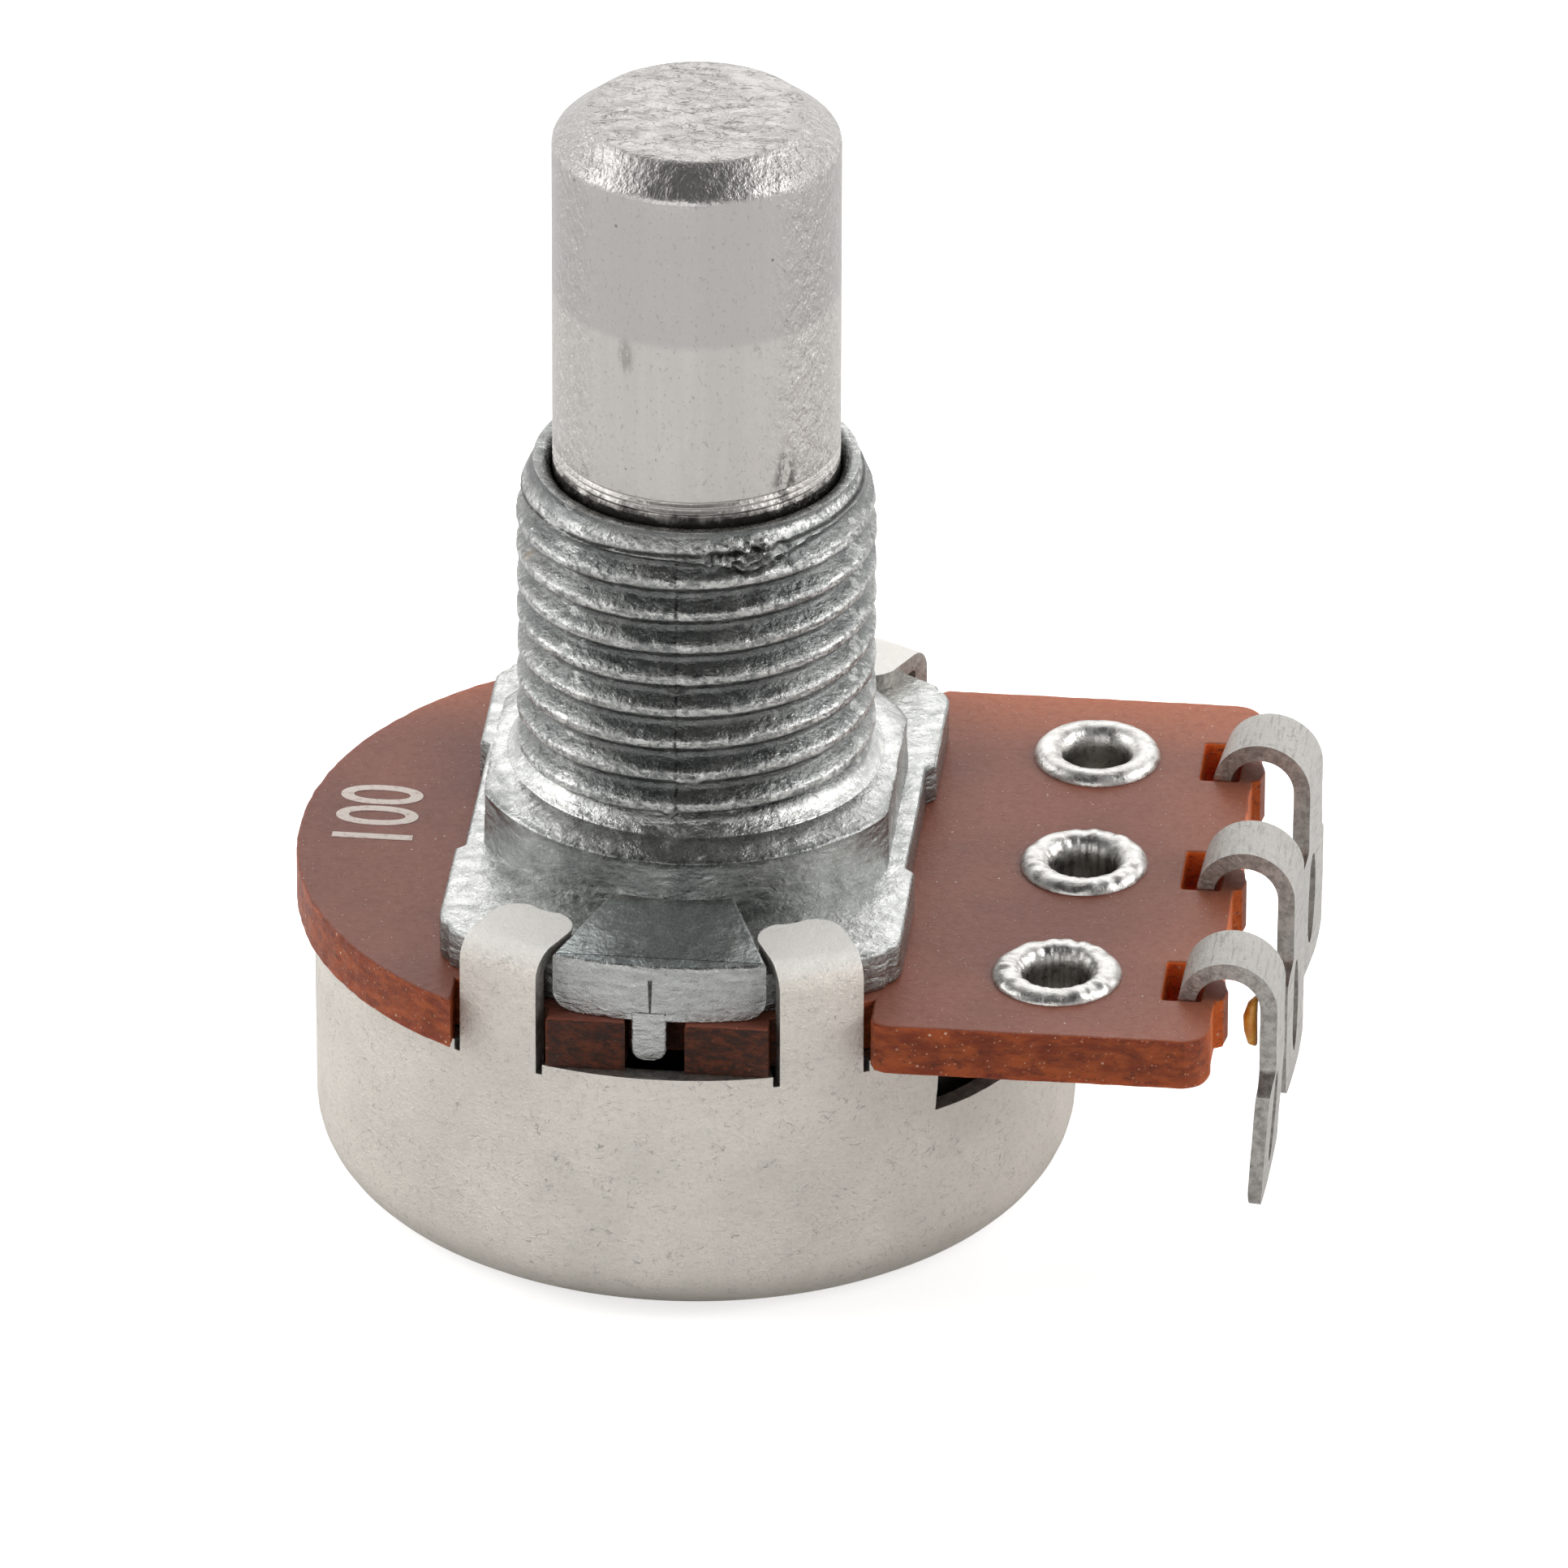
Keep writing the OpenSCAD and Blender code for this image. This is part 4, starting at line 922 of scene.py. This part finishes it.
def make_can(steel, edge_metal):
    """Drawn cup with folded tabs, relief nicks, the opening under the tongue and dents."""
    path = can_path()
    degrees, nick, edge = can_columns()
    there = can_solid(path, degrees, nick, edge)
    rows, columns = len(path), len(degrees)
    half = rows * columns
    faces, kinds = [], []
    for i, j in np.argwhere(there).tolist():
        m = (j + 1) % columns
        a, b = i * columns + j, i * columns + m
        c, d = b + columns, a + columns
        faces += [[a, b, c, d], [a + half, d + half, c + half, b + half]]
        kinds += [0, 0]
        below = i == 0 or there[i - 1, j]
        above = i + 1 < rows - 1 and there[i + 1, j]
        for u, v, joined in ((a, b, below), (c, d, above), (b, c, there[i, m]),
                             (d, a, there[i, j - 1])):
            if not joined:
                faces.append([v, u, u + half, v + half])
                kinds.append(1)
    shape = Shape()
    skins = [can_skin(path, degrees, depth) for depth in (0.0, SHEET)]
    shape.add(np.concatenate(skins), faces, kinds)
    return shape.make("can_shell", [steel, edge_metal], "housing", ["can"], sharp=50,
                      edge=0.035)


# Dents in the can's wall: angle, height, half width, half height, depth
DENTS = ((-47, 4.3, 0.10, 0.6, 0.10), (-38, 3.6, 0.12, 0.5, 0.08), (-75, 2.4, 0.3, 1.2, 0.04))


def dented(points):
    """Presses shallow dents and a slight waviness into the can, always inwards."""
    r = np.hypot(points[:, 0], points[:, 1])
    theta = np.arctan2(points[:, 1], points[:, 0])
    z = points[:, 2]
    wall = part_way(r, 6.5, 7.8) * part_way(z, 0.3, 1.2)
    press = 0.018 * (1 + noise_at(points, 3.0, 8))
    for degrees, level, wide, high, deep in DENTS:
        press = press + deep * spot(theta, degrees, wide) * bell(z, level, high)
    scale = 1 - wall * press / np.maximum(r, 1e-6)
    points = points.copy()
    points[:, :2] *= scale[:, None]
    points[:, 2] -= part_way(z, 7.6, 8.3) * 0.02 * (1 + noise_at(points, 0.9, 9))
    return points


def angle_at(x, r):
    """Angle in degrees at which a circle about the axis reaches x."""
    return math.degrees(math.acos(x / r))


def board_loops():
    """Outline, centre hole, eyelet holes and terminal slots of the board."""
    land, window, slot_r, land_y = 2.45, 4.62, 8.0, 8.15
    notch_left, notch_right, notch_y = -0.72, 0.60, -7.15
    inner, outer = angle_at(land, slot_r), angle_at(window, slot_r)
    rim = angle_at(window, BOARD_R)
    corner_x, corner_y = TONGUE_X - BOARD_CORNER, TONGUE_Y - BOARD_CORNER
    outline = [(4.9, TONGUE_Y)] + arc(corner_x, corner_y, BOARD_CORNER, 90, 0, 9)
    for row in ROWS[::-1]:
        for out, up in ((0, 0.28), (0.16, 0.12), (0.25, -0.3), (0.18, -0.72), (0, -0.85)):
            outline.append((TONGUE_X + out, row[1] + up))
    outline += arc(corner_x, -corner_y, BOARD_CORNER, 0, -90, 9)
    outline += [(4.95, -TONGUE_Y), (4.72, -TONGUE_Y + 0.12), (window, -TONGUE_Y + 0.34)]
    outline += arc(0, 0, slot_r, -outer, -inner, 8)
    outline += [(land, -land_y), (notch_right, -land_y), (notch_right, notch_y),
                (notch_left, notch_y), (notch_left, -land_y), (-land, -land_y)]
    outline += arc(0, 0, slot_r, -180 + inner, -180 + outer, 8)
    outline += arc(0, 0, BOARD_R, -180 + rim, -180 - rim, 120)
    outline += arc(0, 0, slot_r, 180 - outer, 180 - inner, 8)
    outline += [(-land, land_y), (land, land_y)]
    outline += arc(0, 0, slot_r, inner, outer, 8)
    outline += [(window, TONGUE_Y - 0.2), (4.9, TONGUE_Y)]
    edge = sampled(outline, 0.13)[:-1][::-1]
    flat = at_height(edge, 0.0)
    edge = edge + 0.022 * np.column_stack([noise_at(flat, 0.35, 10), noise_at(flat, 0.35, 11)])
    edge[:, 0] = np.maximum(edge[:, 0], 0.01 - BOARD_R)
    loops = [edge, np.array(arc(0, 0, 4.25, 0, 357, 120))]
    for name, y, turn, lean, eyelet_x, wrinkle in ROWS:
        loops.append(np.array(arc(eyelet_x, y, 1.0, 0, 352, 45)))
        near, far, half = 10.87, 11.75, 0.85
        loops.append(rounded([(near, y - half), (far, y - half), (far, y + half), (near, y + half)],
                             0.08))
    return loops


def make_board(face, side):
    """Punched laminate with rough edges, cut as a filled outline with its holes."""
    edge = 0.05
    curve = bpy.data.curves.new("board", "CURVE")
    curve.dimensions = "2D"
    curve.fill_mode = "BOTH"
    curve.bevel_depth = edge * MM
    curve.bevel_resolution = 1
    curve.offset = -edge * MM
    curve.extrude = ((PLATE_Z - RIM_Z) / 2 - edge) * MM
    for loop in board_loops():
        spline = curve.splines.new("POLY")
        spline.points.add(len(loop) - 1)
        for point, (x, y) in zip(spline.points, loop):
            point.co = (x * MM, y * MM, 0, 1)
        spline.use_cyclic_u = True
    mesh = mesh_of(curve)
    mesh.transform(Matrix.Translation((0, 0, (PLATE_Z + RIM_Z) / 2 * MM)))
    clean(mesh, 1e-6)
    for polygon in mesh.polygons:
        polygon.material_index = 0 if abs(polygon.normal.z) > 0.85 else 1
    return finish_piece("board_cut", mesh, [face, side], "housing", ["wafer"], sharp=12)


# Distances down the lug at which its outline is drawn
LUG_STEPS = (0.0, 0.1, 0.2, 0.3, 0.4, 0.45, 0.5, 0.6, 0.8, 1.05, 1.3, 1.6, 1.9, 2.2, 2.45, 2.65,
             2.75, 2.85, 2.95, 3.05, 3.14, 3.22, 3.29, 3.34, 3.38, 3.40)


def strip_rows(eyelet_x, lean):
    """Middle line of a terminal from the eyelet's far side to the lug's tip.

    Each row holds x, z, half width, half width of the hole and thickness.
    """
    bend, flat_z, thin, ring_r, hole_r = 0.266, RIM_Z - 0.04 - STRIP / 2, 0.31, 1.5, 1.0
    rows = []
    for x in -ring_r * np.cos(np.radians(np.arange(0, 150, 10))):
        half = math.sqrt(max(ring_r ** 2 - x * x, 0))
        hole = math.sqrt(max(hole_r ** 2 - x * x, 0))
        rows.append((eyelet_x + x, flat_z, max(half, STRIP_HALF if x > 0 else 0), hole, STRIP))
    line = [(eyelet_x + 1.5, flat_z), (eyelet_x + 2.0, flat_z)]
    for t in np.radians(np.linspace(0, 90, 6)):
        line.append((RISER_X - bend + bend * math.sin(t), flat_z + bend - bend * math.cos(t)))
    line += [(RISER_X, 6.6), (RISER_X, 6.95)]
    line += arc(RISER_X + HOOK_R, HOOK_Z, HOOK_R, 180, 0, 25)
    leg = RISER_X + 2 * HOOK_R
    line += [(leg, z) for z in (6.9, 6.55, 6.2, 5.95)]
    rows += [(x, z, STRIP_HALF, 0, STRIP) for x, z in line]
    slope = math.tan(math.radians(lean))
    for down in LUG_STEPS:
        wide = STRIP_HALF + 0.5 * eased(part_way(down, 0.0, 0.5))
        tip = max(0.0, down - 2.65) / 0.75
        wide = wide * (0.55 + 0.45 * math.sqrt(max(0.0, 1 - tip ** 2)))
        hole = 0.375 * math.sqrt(max(0.0, 1 - ((down - 1.6) / 1.15) ** 2))
        thick = thin + (STRIP - thin) * (1 - part_way(down, 0.0, 0.3))
        thick = thick - 0.06 * part_way(down, 2.9, 3.4)
        rows.append((leg - slope * down, 5.78 - down, float(wide), hole, float(thick)))
    return np.array(rows)


def bent_terminal(points, y, turn):
    """Roughens a terminal, presses its dimple, twists its hook and lug and moves it to its row."""
    points[:, 0] += 0.012 * noise_at(points, 0.8, 12)
    dimple = bell(points[:, 2], 2.85, 0.09) * bell(points[:, 1], 0.1, 0.12)
    points[:, 0] -= 0.05 * dimple * (points[:, 0] > 12.8)
    x, z = points[:, 0], points[:, 2]
    twist = part_way(x, 11.0, 11.2) * (z > 6.1) + (x > 12.0)
    angle = np.radians(-turn - 1.0 * part_way(z, 6.0, 5.2) * (x > 12.0)) * np.minimum(twist, 1)
    dx, dy = x - RISER_X, points[:, 1].copy()
    points[:, 1] = y + dx * np.sin(angle) + dy * np.cos(angle)
    points[:, 0] = np.minimum(RISER_X + dx * np.cos(angle) - dy * np.sin(angle), 13.535)
    return points


def make_terminal(name, y, turn, lean, eyelet_x, metal, edge_metal):
    """Strip with its eyelet ring, bend, hook and flattened lug with a lens-shaped wire hole."""
    rows = strip_rows(eyelet_x, lean)
    line, half, hole, thick = rows[:, :2], rows[:, 2:3], rows[:, 3:4], rows[:, 4:5]
    ahead = unit(np.gradient(line, axis=0))
    out = np.stack([-ahead[:, 1], ahead[:, 0]], 1)
    share = np.array([0.0, 0.2, 0.45, 0.7, 0.88, 1.0])
    span = hole + (half - hole) * share
    skins = []
    for face in (0.5, -0.5):
        x = line[:, :1] + out[:, :1] * thick * face + 0 * span
        z = line[:, 1:] + out[:, 1:] * thick * face + 0 * span
        skins += [np.stack([x, side * span, z], -1).reshape(-1, 3) for side in (-1, 1)]
    count, n = len(rows), len(share)
    size = count * n
    faces = [[k * size + i for i in f] for k in range(4) for f in grid_faces(count, n)]
    kinds = [0] * len(faces)
    for upper in (0, size):
        lower = upper + 2 * size
        for a in range(0, size - n, n):
            ends = [n - 1]
            if hole[a // n] > 0 or hole[a // n + 1] > 0:
                ends.append(0)
            for e in ends:
                faces.append([upper + a + e, upper + a + n + e, lower + a + n + e, lower + a + e])
        for a in range(size - n, size - 1):
            faces.append([upper + a, upper + a + 1, lower + a + 1, lower + a])
    kinds += [1] * (len(faces) - len(kinds))
    shape = Shape()
    shape.add(bent_terminal(np.concatenate(skins), y, turn), faces, kinds)
    return shape.make(f"lug_{name}", [metal, edge_metal], "housing",
                      [f"terminal_{name}"], sharp=40, edge=0.035)


def make_eyelet(name, x, y, wrinkle, metal):
    """Rolled eyelet: crowned flange with pressed wrinkles, funnel, barrel and clinched end."""
    profile = [(0.73, 7.0), (0.735, 7.2), (0.76, 7.36), (0.81, 7.48), (0.88, 7.57), (0.96, 7.625),
               (1.05, 7.652), (1.15, PLATE_Z + 0.26), (1.25, 7.648), (1.34, 7.605), (1.41, 7.53),
               (1.45, 7.44), (1.455, PLATE_Z + 0.005), (1.40, PLATE_Z), (0.95, PLATE_Z),
               (0.95, 5.78), (1.22, 5.77), (1.29, 5.70), (1.27, 5.60), (1.2, 5.58), (0.80, 5.585),
               (0.73, 5.65), (0.73, 6.4)]

    def pressed(points, theta):
        r = np.hypot(points[:, 0], points[:, 1])
        high = part_way(points[:, 2], 7.42, 7.6)
        folds = np.sin(theta * 11 + 2.5 * np.sin(theta * 3 + x)) * np.sin(theta * 5 + y)
        points[:, 2] -= high * wrinkle * (0.03 + 0.03 * folds) * part_way(r, 0.9, 1.15)
        points[:, 2] -= high * 0.018 * (1 + noise_at(points, 0.4, 13))
        teeth = np.sin(theta * 22 + 2 * np.sin(theta * 4)) * part_way(r, 1.12, 0.95)
        teeth = 1 + 0.015 * wrinkle * teeth * (points[:, 2] > 6.9)
        points[:, :2] *= teeth[:, None]
        oval = part_way(r, 1.2, 1.4) * 0.012 * (1 + np.sin(theta * 2 + x + y))
        swell = 1 - oval - 0.006 * wrinkle * (1 + folds)
        points[:, :2] *= swell[:, None]
        return points

    shape = Shape()
    turned(shape, profile, 176, centre=(x, y), change=pressed, close=True)
    return shape.make(f"ring_{name}", [metal], "housing", [f"eyelet_{name}"],
                      sharp=60)


def make_marking(ink):
    """Plain number printed on the board's left part, reading towards the rear."""
    text = bpy.data.curves.new("marking", "FONT")
    text.body = "100"
    text.size = 1.9 * MM
    text.extrude = 0.006 * MM
    text.align_x = "CENTER"
    text.align_y = "CENTER"
    text.offset = 0.018 * MM
    mesh = mesh_of(text)
    mesh.transform(Matrix.Diagonal((1.0, 1.35, 1.0, 1.0)))
    place = Matrix.Translation((-7.1 * MM, 0.55 * MM, (PLATE_Z + 0.004) * MM))
    mesh.transform(place @ Matrix.Rotation(math.radians(90), 4, "Z"))
    return finish_piece("marking_number", mesh, [ink], "housing", sharp=30)


def make_sliver(amber):
    """Sliver of resin stuck to the inside of the front lug."""
    slices = ((6.22, 0.05, 0.1), (6.3, 0.12, 0.22), (6.6, 0.16, 0.3), (6.9, 0.17, 0.32),
              (7.2, 0.12, 0.25), (7.38, 0.04, 0.1))
    x, y = 12.98, -5.5
    loops = []
    for z, wide, deep in slices:
        ring = [(x - wide + wide * math.cos(a) * 0.95, y + deep * math.sin(a), z)
                for a in np.linspace(0, TURN, 13)[:-1]]
        loops.append(np.array(ring))
    shape = Shape()
    stacked(shape, loops, lambda p: p + 0.02 * noise_at(p, 0.2, 14)[:, None])
    return shape.make("resin_sliver", [amber], "housing", sharp=60)


def set_material(node, material):
    """Gives a carried-over CAD node its detailed material."""
    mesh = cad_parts[node].data
    mesh.materials.clear()
    mesh.materials.append(material)


# Stage

def make_camera():
    """The photograph's view, fitted to the part's outline."""
    azimuth, elevation, roll = math.radians(5.764), math.radians(28.999), math.radians(0.171)
    level = math.cos(elevation)
    back = Vector((math.sin(azimuth) * level, -math.cos(azimuth) * level, math.sin(elevation)))
    right = Vector((math.cos(azimuth), math.sin(azimuth), 0))
    up = back.cross(right)
    c, s = math.cos(roll), math.sin(roll)
    right, up = right * c + up * s, up * c - right * s
    data = bpy.data.cameras.new("camera")
    data.sensor_width = 36
    data.lens = 473.78
    data.clip_start = 0.01
    data.clip_end = 5
    camera = placed("camera", data)
    turn = Matrix((right, up, back)).transposed().to_4x4()
    camera.matrix_world = Matrix.Translation((0.042148, -0.398196, 0.230884)) @ turn
    bpy.context.scene.camera = camera


def area_light(name, place, aim_z, size, watts):
    """Rectangular lamp that points at a height on the shaft's axis."""
    data = bpy.data.lights.new(name, "AREA")
    data.shape = "RECTANGLE"
    data.size, data.size_y = size
    data.energy = watts
    lamp = placed(name, data)
    lamp.location = place
    toward = Vector((0, 0, aim_z)) - Vector(place)
    lamp.rotation_euler = toward.to_track_quat("-Z", "Y").to_euler()


def make_lights():
    area_light("left", (-0.42, 0.02, 0.24), 0.012, (0.30, 0.40), 1.0)
    area_light("right", (0.42, 0.02, 0.26), 0.012, (0.30, 0.40), 1.3)
    area_light("front", (-0.08, -0.45, 0.12), 0.01, (0.35, 0.20), 0.4)
    area_light("back", (0.0, 0.42, 0.26), 0.012, (0.45, 0.25), 0.4)


def make_world():
    """Soft pale surround, dimmer high up in front, which the metal shows; white to the camera."""
    white = (1, 1, 1)
    world = bpy.data.worlds.new("surround")
    bpy.context.scene.world = world
    world.use_nodes = True
    tree = world.node_tree
    tree.nodes.clear()
    place = add_node(tree, "TexCoord").outputs["Generated"]
    dim = add_node(tree, "VectorMath", {0: place, 1: (0.0, -0.5, 0.866)}, operation="DOT_PRODUCT")
    shade = {"Value": dim.outputs["Value"], "From Min": 0.25, "From Max": 0.88,
             "To Min": 0.95, "To Max": 0.05}
    shade = add_node(tree, "MapRange", shade, interpolation_type="SMOOTHSTEP").outputs["Result"]
    soft = add_node(tree, "Background", {"Color": white, "Strength": shade}).outputs[0]
    plain = add_node(tree, "Background", {"Color": white}).outputs[0]
    seen = add_node(tree, "LightPath").outputs["Is Camera Ray"]
    both = add_node(tree, "MixShader", {"Fac": seen, 1: soft, 2: plain}).outputs[0]
    add_node(tree, "OutputWorld", {"Surface": both})


def make_floor():
    """Pale floor that shows white to the camera where no shadow falls."""
    half = 2.0
    mesh = bpy.data.meshes.new("floor")
    corners = [(-half, -half, 0), (half, -half, 0), (half, half, 0), (-half, half, 0)]
    mesh.from_pydata(corners, [], [(0, 1, 2, 3)])
    material = bpy.data.materials.new("floor")
    material.use_nodes = True
    tree = material.node_tree
    shader = tree.nodes["Principled BSDF"]
    feed(tree, (0.86, 0.86, 0.86), shader.inputs["Base Color"])
    feed(tree, 0.8, shader.inputs["Roughness"])
    seen = add_node(tree, "LightPath").outputs["Is Camera Ray"]
    glow = add_node(tree, "Emission", {"Color": (0.62, 0.62, 0.62), "Strength": seen})
    both = add_node(tree, "AddShader", {0: shader.outputs[0], 1: glow.outputs[0]})
    tree.links.new(both.outputs[0], tree.nodes["Material Output"].inputs["Surface"])
    mesh.materials.append(material)
    placed("floor", mesh)


def make_pieces():
    steel, cut_edge = tinned_steel("can_steel", (0.875, 0.822, 0.748)), sheared_edge()
    strip, eyelet = tinned_steel("lug_metal", (0.58, 0.56, 0.525), 1.0), eyelet_metal()
    make_shaft(shaft_metal())
    make_bushing(cast_zinc())
    nick_mark(spring_alloy("nick_dark", (0.05, 0.05, 0.048), (0.12, 0.12, 0.115)))
    make_can(steel, cut_edge)
    make_board(laminate_face(), laminate_edge())
    for name, y, turn, lean, eyelet_x, wrinkle in ROWS:
        make_terminal(name, y, turn, lean, eyelet_x, strip, cut_edge)
        make_eyelet(name, eyelet_x, y, wrinkle, eyelet)
    make_marking(marking_ink())
    make_sliver(amber_resin())
    set_material("rotor", black_moulding())
    set_material("wiper", spring_alloy("contact_metal", (0.80, 0.62, 0.30), (0.62, 0.45, 0.20)))
    spring = spring_alloy("spring_metal", (0.42, 0.41, 0.40), (0.25, 0.24, 0.23))
    set_material("retaining_ring", spring)
    set_material("carbon_track", carbon_print())
    silver = silver_print()
    for row in ROWS:
        set_material(f"conductor_{row[0]}", silver)


bpy.context.scene.view_settings.view_transform = "Standard"
make_camera()
make_world()
make_floor()
make_lights()
make_pieces()
